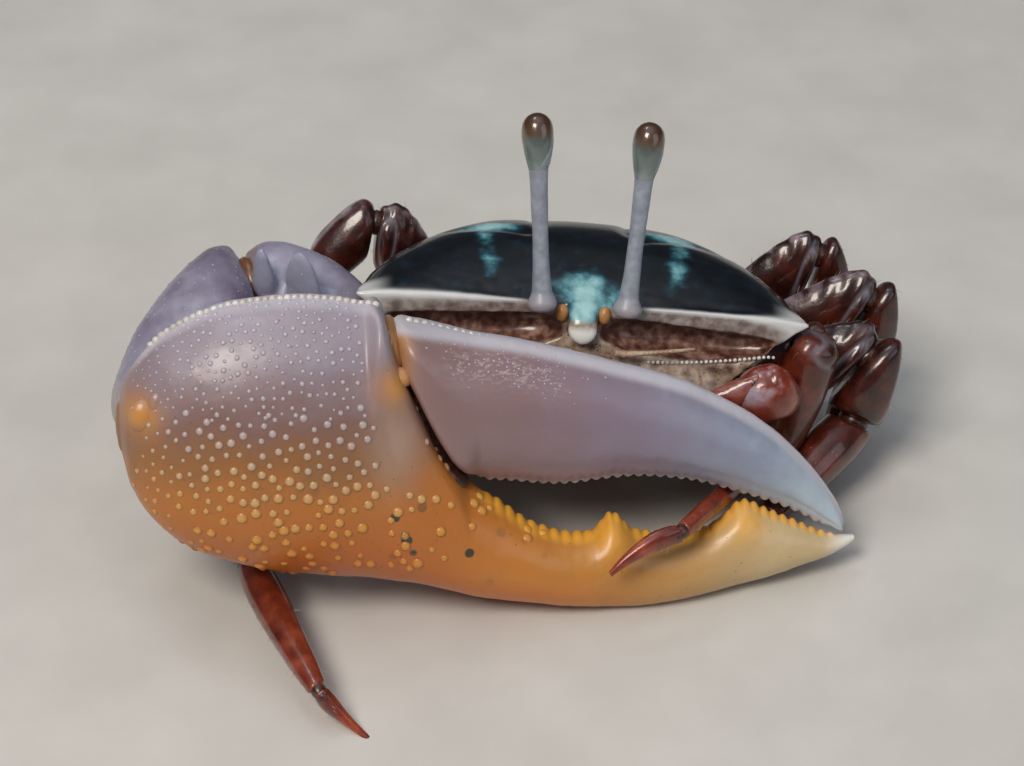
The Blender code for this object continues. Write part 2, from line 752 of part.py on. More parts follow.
# Arm of the great claw, in the stance's frame: elbow, wrist
MAJOR_ARM = ((-22.2, 3.9, 15.9), (-26.2, -3.8, 12.4))
MAJOR_MERUS_PROFILE = (
    (0.0, 1.4, 1.4, 1.4, 2.0),
    (0.2, 1.7, 2.0, 1.8, 2.0),
    (0.38, 2.5, 2.1, 2.2, 2.0),
    (0.6, 2.9, 2.3, 2.4, 2.1),
    (0.85, 2.5, 2.6, 2.5, 2.1),
    (1.0, 1.5, 2.6, 2.3, 2.2),
)
MERUS_UP = Vector((0.05, 0.72, 0.69))
MERUS_BOW = 1.5
MAJOR_CARPUS_PROFILE = (
    (0.0, 1.5, 2.7, 2.4, 2.2),
    (0.2, 3.3, 3.5, 3.4, 2.2),
    (0.6, 4.4, 4.3, 4.2, 2.2),
    (0.85, 3.9, 4.4, 3.7, 2.1),
    (1.0, 2.6, 3.0, 2.5, 2.0),
)
CARPUS_UP = Vector((0.1, 0.35, 1))
MINOR_ARM = ((12.45, -0.7, 9.3), (11.4, -1.65, 12.0), (7.8, -2.2, 10.1), (5.0, -2.5, 9.7))


def major_cuts():
    """The joint planes of the great claw's arm: hip, elbow and wrist."""
    hip, way = hip_of(*MAJOR_HIP, mirrored=False)
    elbow, wrist = (floor_point(p) for p in MAJOR_ARM)
    palm = claw_matrix() @ Vector((-8.0, -3.5, 0))
    hip_cut = (way + (elbow - hip).normalized()).normalized()
    return hip, elbow, wrist, hip_cut, mitre(hip, elbow, wrist), mitre(elbow, wrist, palm)


def make_major_arm(carrier, claw_carrier, body):
    hip, elbow, wrist, hip_cut, elbow_cut, wrist_cut = major_cuts()
    rings = segment_rings(
        hip, elbow, hip_cut, elbow_cut, MERUS_UP, MAJOR_MERUS_PROFILE, 16, 9, bow=MERUS_BOW
    )
    merus = place("major_merus", loft_mesh("major_merus", rings), lilac_shell(), carrier)
    combine(merus, [merus_tooth(k, hip, elbow, carrier) for k in (0, 1)], "UNION")
    combine(merus, [carapace_room(body)], "DIFFERENCE")
    rings = segment_rings(
        elbow, wrist, elbow_cut, wrist_cut, CARPUS_UP, MAJOR_CARPUS_PROFILE, 18, 10,
        bow=0.6, end_gap=-1.6,
    )
    carpus = place("major_carpus", loft_mesh("major_carpus", rings), lilac_shell(), carrier)
    palm = palm_object("palm_room", claw_carrier, grow=GAP, plain=True)
    combine(carpus, [palm], "DIFFERENCE")


# The two lobes on the arm's upper edge: share along the merus, height, half width
MERUS_TEETH = ((0.87, 3.3, 0.75), (0.68, 3.5, 1.4))


def merus_tooth(index, hip, elbow, carrier):
    share, tall, half = MERUS_TEETH[index]
    axis = (elbow - hip).normalized()
    front = Vector((0, -0.8, 0.35)).normalized()
    root = hip.lerp(elbow, share) + Vector((0, 0.4, 1.6))
    up = Vector((0, -0.12, 1)).normalized()
    rings = []
    for height, scale in ((0.0, 1.0), (0.45, 0.95), (0.8, 0.62), (1.0, 0.22)):
        middle = root + up * (tall * height)
        rings.append([
            middle + axis * (half * scale * c) + front * (0.75 * scale * s) for c, s in oval(8)
        ])
    return place("tooth", loft_mesh("tooth", rings), lilac_shell(), carrier)


# The palm and fixed finger in the claw's plane: (along, upper edge, lower edge, outer
# bulge, inner bulge, exponent). The seam to the movable finger falls from -1.0 to 4.95.
PALM_SECTIONS = (
    (-17.75, -1.2, -4.4, 0.6, 0.5, 2.0),
    (-17.2, 0.6, -6.7, 1.8, 1.5, 2.1),
    (-15.6, 2.7, -9.1, 3.2, 2.6, 2.2),
    (-13.6, 4.1, -10.7, 4.1, 3.3, 2.2),
    (-11.0, 5.1, -11.8, 4.7, 3.8, 2.2),
    (-8.0, 5.5, -12.5, 5.0, 4.0, 2.2),
    (-5.0, 5.5, -12.9, 4.9, 4.0, 2.2),
    (-2.6, 5.1, -13.2, 4.5, 3.8, 2.2),
    (-1.15, 4.6, -13.4, 4.2, 3.6, 2.3),
    (-0.55, 1.9, -13.5, 4.1, 3.5, 2.4),
    (0.5, -0.9, -13.6, 3.9, 3.4, 2.5),
    (1.7, -3.7, -13.9, 3.6, 3.2, 2.4),
    (2.9, -5.7, -14.3, 3.3, 3.0, 2.2),
    (4.6, -7.25, -14.8, 3.0, 2.7, 2.1),
    (6.4, -8.7, -15.2, 2.7, 2.5, 2.0),
    (8.3, -10.1, -15.5, 2.5, 2.3, 2.0),
    (10.4, -10.9, -15.8, 2.3, 2.2, 2.0),
    (12.4, -10.9, -15.95, 2.25, 2.1, 2.0),
    (13.7, -9.8, -16.05, 2.2, 2.1, 1.9),
    (15.2, -10.9, -16.05, 2.2, 2.0, 2.0),
    (17.6, -11.5, -15.95, 2.1, 1.9, 2.0),
    (19.6, -11.3, -15.6, 2.0, 1.8, 2.0),
    (21.2, -10.3, -15.3, 1.9, 1.7, 1.9),
    (22.4, -9.4, -15.05, 1.8, 1.6, 1.8),
    (23.8, -9.95, -14.7, 1.65, 1.5, 1.8),
    (26.0, -11.0, -14.15, 1.35, 1.25, 1.9),
    (28.2, -12.0, -13.45, 0.9, 0.85, 2.0),
    (29.6, -12.1, -12.8, 0.5, 0.5, 2.0),
    (30.15, -12.15, -12.45, 0.25, 0.25, 2.0),
)
FINGER_SECTIONS = (
    (-0.55, 3.6, 2.9, 1.2, 1.0, 2.0),
    (0.0, 3.95, 1.2, 2.9, 2.4, 2.1),
    (0.8, 3.8, -0.45, 3.6, 3.0, 2.3),
    (2.05, 3.45, -3.2, 3.6, 3.1, 2.3),
    (3.3, 3.15, -5.3, 3.4, 3.0, 2.2),
    (4.9, 2.75, -6.55, 3.2, 2.8, 2.0),
    (7.7, 2.2, -6.9, 3.0, 2.6, 1.9),
    (10.3, 1.5, -7.2, 2.8, 2.5, 1.9),
    (14.2, 0.4, -6.9, 2.55, 2.3, 1.9),
    (16.8, -0.4, -7.05, 2.35, 2.1, 1.9),
    (19.5, -1.5, -7.55, 2.15, 1.9, 1.9),
    (23.3, -3.7, -8.8, 1.75, 1.55, 1.9),
    (26.0, -6.1, -9.95, 1.35, 1.2, 1.9),
    (28.1, -8.65, -11.15, 0.9, 0.85, 2.0),
    (29.2, -10.7, -11.8, 0.5, 0.5, 2.0),
    (29.3, -11.5, -11.9, 0.22, 0.22, 2.0),
)
TOOTH_PITCH = 1.5  # of the saw edges where the fingers meet
TOOTH_HEIGHT = 0.3
BEAD_PITCH = 1.6  # of the beaded crest along the top
BEAD_HEIGHT = 0.16


def claw_stations(sections, first_tooth, last_tooth, pitch):
    """Positions along the claw: the sections' own, and two for each tooth between."""
    stops = [row[0] for row in sections if not first_tooth < row[0] < last_tooth]
    count = 2 * round((last_tooth - first_tooth) / pitch)
    stops += [first_tooth + (last_tooth - first_tooth) * k / count for k in range(count + 1)]
    return sorted(set(stops))


def wave(at, start, end, pitch, height):
    """The rise of a row of teeth at a position, zero outside the row."""
    if not start <= at <= end:
        return 0.0
    count = round((end - start) / pitch)
    return height * 0.5 * (1 - math.cos(2 * math.pi * count * (at - start) / (end - start)))


def claw_ring(sections, at, sides, top_wave=0.0, bottom_wave=0.0, grow=0.0):
    """One ring across the claw, from its upper edge round its outer side."""
    top, bottom, outer, inner, exponent = smooth_table(sections, at)
    top += top_wave + grow
    bottom -= bottom_wave + grow
    middle, half = (top + bottom) / 2, (top - bottom) / 2
    curl = -FINGER_CURL * max(at, 0.0) ** 2
    ring = []
    for cosine, sine in oval(sides, exponent):
        thick = (outer if sine > 0 else inner) + grow
        ring.append(Vector((at, middle + half * cosine, curl + thick * sine)))
    return ring


def palm_object(name, carrier, grow=0.0, plain=False):
    crest = (-14.3, -1.5)
    saw = (6.4, 27.4)
    if plain:
        stops = [row[0] for row in PALM_SECTIONS if row[0] < 2.0]
        stops[0] -= grow
    else:
        stops = claw_stations(PALM_SECTIONS, *crest, BEAD_PITCH)
        stops = [s for s in stops if s < saw[0]]
        stops += [s for s in claw_stations(PALM_SECTIONS, *saw, TOOTH_PITCH) if s >= saw[0]]
    rings = []
    for at in stops:
        rise = 0.0 if plain else (
            wave(at, *crest, BEAD_PITCH, BEAD_HEIGHT) + wave(at, *saw, TOOTH_PITCH, TOOTH_HEIGHT)
        )
        rings.append(claw_ring(PALM_SECTIONS, at, 16, top_wave=rise, grow=grow))
    if not plain:
        rings = [[stand_on_floor(point) for point in ring] for ring in rings]
    return place(name, loft_mesh(name, rings), amber_shell(), carrier)


def stand_on_floor(point):
    """Lifts a point of the claw to the floor, so that the fixed finger rests on a flat."""
    to_stance = claw_matrix()
    here = to_stance @ point
    if here.z >= 0:
        return point
    return to_stance.inverted() @ Vector((here.x, here.y, 0.0))


def make_palm(carrier):
    palm = palm_object("major_palm", carrier)
    combine(palm, tubercles(carrier), "UNION")
    return palm


# The pearls over the palm's outer face
PEARL_ROWS = 6
PEARL_PITCH = 2.3
PEARL_RADIUS = 0.6
PEARL_SEED = 7


def tubercles(carrier):
    """Blunt pearls in staggered rows over the outer face, smaller towards the edges."""
    draw = random.Random(PEARL_SEED)
    found = []
    for row in range(PEARL_ROWS):
        share = (row + 0.9) / (PEARL_ROWS + 0.8)
        start = -16.4 + 2.6 * abs(share - 0.5) * 2
        end = -2.0 if share < 0.45 else 3.0 * share - 2.6
        count = int((end - start) / PEARL_PITCH)
        for k in range(count):
            at = start + (k + 0.5 * (row % 2) + draw.uniform(-0.2, 0.2)) * PEARL_PITCH
            turn = math.pi * (0.14 + 0.72 * share) + draw.uniform(-0.03, 0.03)
            radius = PEARL_RADIUS * draw.uniform(0.75, 1.1)
            found.append(pearl(at, turn, radius, carrier))
    return found


def palm_surface(at, turn):
    """A point on the palm's outer face and its outward direction, in the claw's frame."""
    top, bottom, outer, _inner, exponent = smooth_table(PALM_SECTIONS, at)
    share = 2.0 / exponent
    middle, half = (top + bottom) / 2, (top - bottom) / 2

    def point(angle, here):
        return Vector((
            here, middle + half * power(math.cos(angle), share),
            outer * power(math.sin(angle), share),
        ))

    here = point(turn, at)
    along_turn = point(turn + 0.02, at) - point(turn - 0.02, at)
    ahead = smooth_table(PALM_SECTIONS, at + 0.2)[2] - smooth_table(PALM_SECTIONS, at - 0.2)[2]
    along = Vector((0.4, 0, ahead * max(math.sin(turn), 0)))
    normal = along.cross(along_turn).normalized()
    return here, normal if normal.z > 0 else -normal


def pearl(at, turn, radius, carrier):
    here, normal = palm_surface(at, turn)
    side = normal.orthogonal().normalized()
    other = normal.cross(side)
    rings = []
    for rise, scale in ((-0.9, 0.9), (0.25, 0.95), (0.75, 0.4)):
        middle = here + normal * (radius * rise)
        rings.append([
            middle + side * (radius * scale * c) + other * (radius * scale * s)
            for c, s in oval(6)
        ])
    return place("pearl", loft_mesh("pearl", rings), amber_shell(), carrier)


def make_finger(carrier):
    """The movable finger of the great claw, with its crest and its saw edge."""
    crest = (1.6, 14.0)
    saw = (5.4, 27.6)
    stops = [row[0] for row in FINGER_SECTIONS if row[0] < saw[0]]
    stops += claw_stations(FINGER_SECTIONS, *saw, TOOTH_PITCH)
    stops = sorted(set(s for s in stops if s >= FINGER_SECTIONS[0][0]))
    rings = []
    for at in stops:
        rise = wave(at, *crest, BEAD_PITCH, BEAD_HEIGHT * 0.6)
        bite = wave(at, *saw, TOOTH_PITCH, TOOTH_HEIGHT)
        rings.append(claw_ring(FINGER_SECTIONS, at, 14, rise, bite))
    place("major_finger", loft_mesh("major_finger", rings), lilac_shell(), carrier)


MINOR_MERUS_PROFILE = (
    (0.0, 0.8, 0.8, 0.75, 2.0),
    (0.4, 0.9, 1.1, 0.95, 2.0),
    (0.75, 1.0, 1.2, 1.0, 2.0),
    (1.0, 0.7, 0.8, 0.85, 2.0),
)
MINOR_CARPUS_PROFILE = (
    (0.0, 0.6, 0.8, 0.8, 2.0),
    (0.3, 2.1, 1.8, 1.75, 2.0),
    (0.6, 2.3, 2.0, 1.85, 2.0),
    (0.9, 1.4, 1.5, 1.3, 2.0),
    (1.0, 0.6, 0.9, 0.8, 2.0),
)
MINOR_PALM_PROFILE = (
    (0.0, 0.75, 0.75, 0.65, 2.0),
    (0.45, 1.05, 1.05, 0.8, 2.0),
    (1.0, 1.05, 1.05, 0.65, 2.2),
)
MINOR_FINGER_PROFILE = (
    (0.0, 0.45, 0.45, 0.55, 2.2),
    (0.5, 0.34, 0.34, 0.42, 2.0),
    (0.9, 0.34, 0.34, 0.45, 2.0),
    (1.0, 0.26, 0.26, 0.3, 2.0),
)
FINGER_SPREAD = 0.6  # half the distance between the small claw's two fingers


def make_minor_claw(carrier):
    """The small claw, folded before the mouth."""
    hip, way = hip_of(*MINOR_HIP, mirrored=False)
    elbow, wrist, knuckle, tip = (floor_point(p) for p in MINOR_ARM)
    up = Vector((0, -0.1, 1))
    cuts = [
        (way + (elbow - hip).normalized()).normalized(),
        mitre(hip, elbow, wrist),
        mitre(elbow, wrist, knuckle),
        (knuckle - wrist).normalized(),
    ]
    rows = (
        ("minor_merus", hip, elbow, MINOR_MERUS_PROFILE, 0),
        ("minor_carpus", elbow, wrist, MINOR_CARPUS_PROFILE, 1),
        ("minor_palm", wrist, knuckle, MINOR_PALM_PROFILE, 2),
    )
    found = {}
    for name, start, end, profile, k in rows:
        broad = Vector((1, 0, 0.3)) if name == "minor_carpus" else up
        rings = segment_rings(start, end, cuts[k], cuts[k + 1], broad, profile, 12, 7)
        found[name] = place(name, loft_mesh(name, rings), leg_shell(), carrier)
    axis = (tip - knuckle).normalized()
    spread = (up - axis * up.dot(axis)).normalized() * FINGER_SPREAD
    rings = segment_rings(
        knuckle + spread, tip + spread * 0.75, cuts[3], axis, up,
        MINOR_FINGER_PROFILE, 8, 6, bow=0.2, end_gap=0.0,
    )
    place("minor_finger", loft_mesh("minor_finger", rings), leg_shell(), carrier)
    rings = segment_rings(
        knuckle - spread - axis, tip - spread * 0.75, cuts[3], axis, up,
        MINOR_FINGER_PROFILE, 8, 7, bow=-0.2, end_gap=0.0,
    )
    thumb = place("thumb", loft_mesh("thumb", rings), leg_shell(), carrier)
    combine(found["minor_palm"], [thumb], "UNION")


def main():
    clear_scene()
    body = empty("body", body_matrix())
    claw = empty("claw", claw_matrix())
    stance = empty("stance", Matrix.Identity(4))
    make_carapace(body)
    make_thorax(body)
    make_abdomen(body)
    for name, side in (("left", 1), ("right", -1)):
        make_mouthpart(f"mouthpart_{name}", side, body)
        make_antenna(f"antenna_{name}", side, body)
        make_eye(name, stance)
    for name in LEGS:
        make_leg(name, stance, body)
    make_minor_claw(stance)
    make_major_arm(stance, claw, body)
    make_palm(claw)
    make_finger(claw)


main()
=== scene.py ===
"""A male fiddler crab at life size, dressed in its shell colours on a pale studio floor.

Lengths are millimetres in the code and metres in the scene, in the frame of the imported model:
+X is to the right of someone who faces the crab, +Y runs from its face to its tail, +Z is up.
Each shell is worked out as points in the frame of what carries it (the body, the great claw
or the stance), kept there as the attribute "local", and then moved to the model's frame.
"""

import functools
import itertools
import math

import bpy
import numpy as np
from mathutils import Matrix, Vector


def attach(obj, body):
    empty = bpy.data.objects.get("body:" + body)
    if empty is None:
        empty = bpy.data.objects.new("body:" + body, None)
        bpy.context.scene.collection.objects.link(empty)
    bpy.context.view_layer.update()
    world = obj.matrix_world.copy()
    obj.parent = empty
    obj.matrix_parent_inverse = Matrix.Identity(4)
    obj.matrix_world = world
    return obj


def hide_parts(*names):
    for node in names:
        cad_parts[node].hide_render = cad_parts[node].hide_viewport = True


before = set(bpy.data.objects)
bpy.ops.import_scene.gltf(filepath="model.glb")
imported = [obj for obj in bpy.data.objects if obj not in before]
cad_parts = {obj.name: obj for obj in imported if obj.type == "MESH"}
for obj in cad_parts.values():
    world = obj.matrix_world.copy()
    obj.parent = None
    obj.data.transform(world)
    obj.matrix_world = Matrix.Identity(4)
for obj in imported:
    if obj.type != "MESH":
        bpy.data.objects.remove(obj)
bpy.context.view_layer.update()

MM = 0.001
HALF_GAP = 0.15  # half the gap between limb segments

# Where the carriers are, as in the part's source
BODY_PITCH = 21.0
BODY_ROLL = 5.2
CORNER_LINE = Vector((0.0, 2.0, 15.44))
FLOOR_SHIFT = Vector((4.573, 2.0463, 0.0))
CLAW_ORIGIN = Vector((-11.82, -5.57, 15.56))
CLAW_OUTWARD = Vector((0.100, -0.922, 0.373)).normalized()
FINGER_CURL = 0.0016
SIDES = {"left": 1, "right": -1}


def body_matrix():
    """The crab's body in the frame of the model."""
    pitch = Matrix.Rotation(math.radians(-BODY_PITCH), 4, "X")
    roll = Matrix.Rotation(math.radians(BODY_ROLL), 4, "Y")
    return Matrix.Translation(CORNER_LINE + FLOOR_SHIFT) @ roll @ pitch


def claw_matrix():
    """The great claw in the frame of the model: +X towards its tip, +Y up, +Z outwards."""
    along = Vector((1, 0, 0))
    along = (along - CLAW_OUTWARD * along.dot(CLAW_OUTWARD)).normalized()
    up = along.cross(CLAW_OUTWARD) * -1
    turn = Matrix((along, up, CLAW_OUTWARD)).transposed().to_4x4()
    return Matrix.Translation(CLAW_ORIGIN + FLOOR_SHIFT) @ turn


BODY = body_matrix()
CLAW = claw_matrix()
STANCE = Matrix.Identity(4)


# Shapes


def smooth_table(table, at):
    """Reads a table of (position, value, ...) rows along a smooth curve through its rows."""
    if at <= table[0][0]:
        return table[0][1:]
    if at >= table[-1][0]:
        return table[-1][1:]
    index = next(i for i in range(len(table) - 1) if at <= table[i + 1][0])
    low, high = table[index], table[index + 1]
    before = table[max(index - 1, 0)]
    after = table[min(index + 2, len(table) - 1)]
    span = high[0] - low[0]
    share = (at - low[0]) / span
    found = []
    for k in range(1, len(low)):
        rise_in = (high[k] - before[k]) / (high[0] - before[0]) * span
        rise_out = (after[k] - low[k]) / (after[0] - low[0]) * span
        found.append(
            (2 * share**3 - 3 * share**2 + 1) * low[k]
            + (share**3 - 2 * share**2 + share) * rise_in
            + (3 * share**2 - 2 * share**3) * high[k]
            + (share**3 - share**2) * rise_out
        )
    return tuple(found)


def numbered(rows):
    """Rows with their number in front, so that they can be read as a table."""
    return [(float(k), *row) for k, row in enumerate(rows)]


def oval(count, exponent=2.0):
    """Cosines and sines round a superellipse."""
    turns = 2 * np.pi * np.arange(count) / count
    cosine, sine = np.cos(turns), np.sin(turns)
    share = 2.0 / exponent
    return np.sign(cosine) * np.abs(cosine) ** share, np.sign(sine) * np.abs(sine) ** share


def hump(distance, half_width):
    """A bell of height 1 that is about half_width wide at half its height."""
    return np.exp(-0.69 * (distance / half_width) ** 2)


def step_up(value, low, high):
    """0 below low, 1 above high, eased between."""
    share = np.clip((value - low) / (high - low), 0.0, 1.0)
    return share * share * (3 - 2 * share)


def step_down(value, low, high):
    """1 below low, 0 above high, eased between."""
    return 1 - step_up(value, low, high)


def soft_noise(points, size, seed):
    """Smooth noise from -1 to 1 at points, with lumps about size across."""
    cell = np.floor(points / size).astype(np.int64)
    part = points / size - cell
    part = part * part * (3 - 2 * part)
    total = np.zeros(len(points))
    for corner in itertools.product((0, 1), repeat=3):
        here = cell + np.array(corner)
        mixed = here[:, 0] * 374761393 + here[:, 1] * 668265263 + here[:, 2] * 69069 + seed * 1442695
        mixed &= 0xFFFFFFFF
        mixed = ((mixed ^ (mixed >> 13)) * 1274126177) & 0xFFFFFFFF
        value = ((mixed ^ (mixed >> 16)) & 0xFFFF) / 65535
        total += value * np.prod(np.where(corner, part, 1 - part), axis=1)
    return total * 2 - 1


def shell(rings, **marks):
    """A closed shell through rings of points. Its first and last rings shrink to poles.

    Each mark is one number for each point of the rings, kept for the reliefs and materials.
    """
    rings = np.asarray(rings, dtype=float)
    count, sides = rings.shape[:2]
    points = np.vstack([
        rings[0].mean(axis=0)[None], rings[1:-1].reshape(-1, 3), rings[-1].mean(axis=0)[None]
    ])
    kept = {}
    for name, values in marks.items():
        values = np.asarray(values, dtype=float)
        kept[name] = np.concatenate([
            [values[0].mean()], values[1:-1].reshape(-1), [values[-1].mean()]
        ])
    faces = []
    for ring in range(count - 3):
        low = 1 + ring * sides
        for k in range(sides):
            nxt = (k + 1) % sides
            faces.append((low + k, low + nxt, low + sides + nxt, low + sides + k))
    last = len(points) - 1
    tail = 1 + (count - 3) * sides
    for k in range(sides):
        nxt = (k + 1) % sides
        faces.append((0, 1 + nxt, 1 + k))
        faces.append((last, tail + k, tail + nxt))
    return points, faces, kept


def rounded_ends(rings, depth_in=0.3, depth_out=0.3, steps=6):
    """Adds rings that close both ends of a stack of rings as low domes."""
    rings = [np.asarray(ring, dtype=float) for ring in rings]
    done = []
    for ring, inner, depth in ((rings[0], rings[1], depth_in), (rings[-1], rings[-2], depth_out)):
        middle = ring.mean(axis=0)
        way = middle - inner.mean(axis=0)
        way /= np.linalg.norm(way)
        dome = []
        for k in range(1, steps + 1):
            turn = math.pi / 2 * k / steps
            dome.append(middle + (ring - middle) * math.cos(turn) + way * depth * math.sin(turn))
        done.append(dome)
    return done[0][::-1] + rings + done[1]


def joined(*shells):
    """Several closed shells as one, with the marks that all of them have."""
    points, faces, marks, start = [], [], {}, 0
    names = set.intersection(*(set(kept) for _, _, kept in shells))
    for own_points, own_faces, kept in shells:
        points.append(own_points)
        faces += [tuple(index + start for index in face) for face in own_faces]
        for name in names:
            marks.setdefault(name, []).append(kept[name])
        start += len(own_points)
    return np.vstack(points), faces, {name: np.concatenate(marks[name]) for name in names}


def carried(points, carrier):
    """Points of a carrier's frame in the frame of the model, both in mm."""
    return points @ np.array(carrier.to_3x3()).T + np.array(carrier.translation)


def ball_rings(middle, radii, sides, steps):
    """Rings of an ellipsoid with its poles on the X axis."""
    cosine, sine = oval(sides)
    rings = []
    for k in range(steps + 1):
        turn = math.pi * k / steps
        rings.append(np.array(middle) + np.stack([
            np.full(sides, -radii[0] * math.cos(turn)), radii[1] * math.sin(turn) * cosine,
            radii[2] * math.sin(turn) * sine,
        ], 1))
    return rings


def capped(rings, marks, depth_in, depth_out, steps=5):
    """A shell with a low dome on each end, over which the marks of its end rings go on."""
    marks = {
        name: [rows[0]] * steps + list(rows) + [rows[-1]] * steps for name, rows in marks.items()
    }
    return shell(rounded_ends(rings, depth_in, depth_out, steps), **marks)


def in_scene(name, data):
    """A new object in the scene, unturned at the origin."""
    obj = bpy.data.objects.new(name, data)
    bpy.context.scene.collection.objects.link(obj)
    return obj


def keep_marks(mesh, marks):
    """Keeps one number or one vector for each point of a mesh as its attributes."""
    for name, values in marks.items():
        kind, label = ("FLOAT_VECTOR", "vector") if np.ndim(values) == 2 else ("FLOAT", "value")
        mesh.attributes.new(name, kind, "POINT").data.foreach_set(label, np.ravel(values))


def vertex_array(mesh, what="co"):
    """One vector for each vertex of a mesh, as an array."""
    values = np.empty(len(mesh.vertices) * 3)
    mesh.vertices.foreach_get(what, values)
    return values.reshape(-1, 3)


def bare_mesh(name, points, faces):
    """A mesh whose faces look outwards."""
    mesh = bpy.data.meshes.new(name)
    mesh.from_pydata(points.tolist(), [], faces)
    mesh.update()
    mesh.calc_loop_triangles()
    corners = np.empty(len(mesh.loop_triangles) * 3, dtype=np.int32)
    mesh.loop_triangles.foreach_get("vertices", corners)
    triangles = points[corners.reshape(-1, 3)]
    if np.einsum("ij,ij->i", triangles[:, 0], np.cross(triangles[:, 1], triangles[:, 2])).sum() < 0:
        mesh.flip_normals()
        mesh.update()
    return mesh


def fused(shells, voxel, smoothing=3):
    """Several overlapping shells as one skin without seams, voxel mm fine."""
    points, faces, _ = joined(*shells)
    obj = in_scene("fused", bare_mesh("fused", points, faces))
    remesh = obj.modifiers.new("remesh", "REMESH")
    remesh.mode = "VOXEL"
    remesh.voxel_size = voxel
    obj.modifiers.new("smooth", "SMOOTH").iterations = smoothing
    graph = bpy.context.evaluated_depsgraph_get()
    mesh = bpy.data.meshes.new_from_object(obj.evaluated_get(graph))
    found = vertex_array(mesh), [tuple(face.vertices) for face in mesh.polygons], {}
    bpy.data.objects.remove(obj, do_unlink=True)
    bpy.data.meshes.remove(mesh)
    return found


PIECES = []


def piece(name, made, carrier, material, nodes, slot, relief=None, marks=None):
    """Makes a piece of the crab from a shell, in place of the named nodes of the model.

    relief gives mm outwards, and marks give more attributes, from (points, normals, marks).
    """
    points, faces, kept = made
    mesh = bare_mesh(name, points, faces)
    normals = vertex_array(mesh, "normal")
    if marks:
        kept = {**kept, **marks(points, normals, kept)}
    kept = {"local": points, **kept}
    if relief:
        points = points + normals * relief(points, normals, kept)[:, None]
    world = carried(points, carrier) * MM
    world[:, 2] = np.maximum(world[:, 2], 0.0)
    mesh.vertices.foreach_set("co", world.reshape(-1))
    mesh.update()
    keep_marks(mesh, kept)
    mesh.shade_smooth()
    mesh.materials.append(material)
    obj = in_scene(name, mesh)
    PIECES.append((obj, nodes, slot))
    return obj


# Node trees


def linear(code):
    """An sRGB hex colour as linear red, green, blue and alpha."""
    parts = [int(code[k:k + 2], 16) / 255 for k in (1, 3, 5)]
    return (*(c / 12.92 if c <= 0.04045 else ((c + 0.055) / 1.055) ** 2.4 for c in parts), 1.0)


def node(tree, kind, inputs=None, stops=None, **settings):
    """Adds a node with its settings, its input values or links, and its colour stops.

    An input that is a node is linked from that node's first output.
    """
    made = tree.nodes.new(kind)
    for name, value in settings.items():
        setattr(made, name, value)
    for key, value in (inputs or {}).items():
        for one in value if isinstance(value, list) else [value]:
            if isinstance(one, bpy.types.Node):
                one = one.outputs[0]
            if isinstance(one, bpy.types.NodeSocket):
                tree.links.new(one, made.inputs[key])
            else:
                made.inputs[key].default_value = one
    if stops:
        ramp = made.color_ramp.elements
        while len(ramp) < len(stops):
            ramp.new(1.0)
        for element, (position, colour) in zip(ramp, stops):
            element.position = position
            element.color = linear(colour)
    return made


def run_tree(obj, tree, **inputs):
    """Runs a node tree on a piece and keeps the result as the piece's plain mesh."""
    modifier = obj.modifiers.new(tree.name, "NODES")
    modifier.node_group = tree
    for item in tree.interface.items_tree:
        if item.in_out == "INPUT" and item.name in inputs:
            modifier[item.identifier] = inputs[item.name]
    bpy.context.view_layer.update()
    graph = bpy.context.evaluated_depsgraph_get()
    mesh = bpy.data.meshes.new_from_object(
        obj.evaluated_get(graph), preserve_all_data_layers=True, depsgraph=graph
    )
    obj.modifiers.remove(modifier)
    obj.data = mesh


def new_tree(name, **sockets):
    """A node tree with its named inputs, what adds nodes to it, and its inputs' sockets."""
    tree = bpy.data.node_groups.new(name, "GeometryNodeTree")
    for label, kind in {"Geometry": "Geometry", **sockets, "Finish": "Material"}.items():
        tree.interface.new_socket(label, in_out="INPUT", socket_type="NodeSocket" + kind)
    tree.interface.new_socket("Geometry", in_out="OUTPUT", socket_type="NodeSocketGeometry")
    add = functools.partial(node, tree)
    return tree, add, add("NodeGroupInput").outputs


def end_tree(add, given, strewn, base=None):
    """Turns what a tree has strewn into plain mesh, with the base it stands on and its finish."""
    solid = add("GeometryNodeRealizeInstances", {"Geometry": strewn})
    if base is not None:
        solid = add("GeometryNodeJoinGeometry", {"Geometry": [solid, base]})
    smooth = add("GeometryNodeSetShadeSmooth", {"Geometry": solid})
    finish = add("GeometryNodeSetMaterial", {"Geometry": smooth, "Material": given["Finish"]})
    add("NodeGroupOutput", {"Geometry": finish})


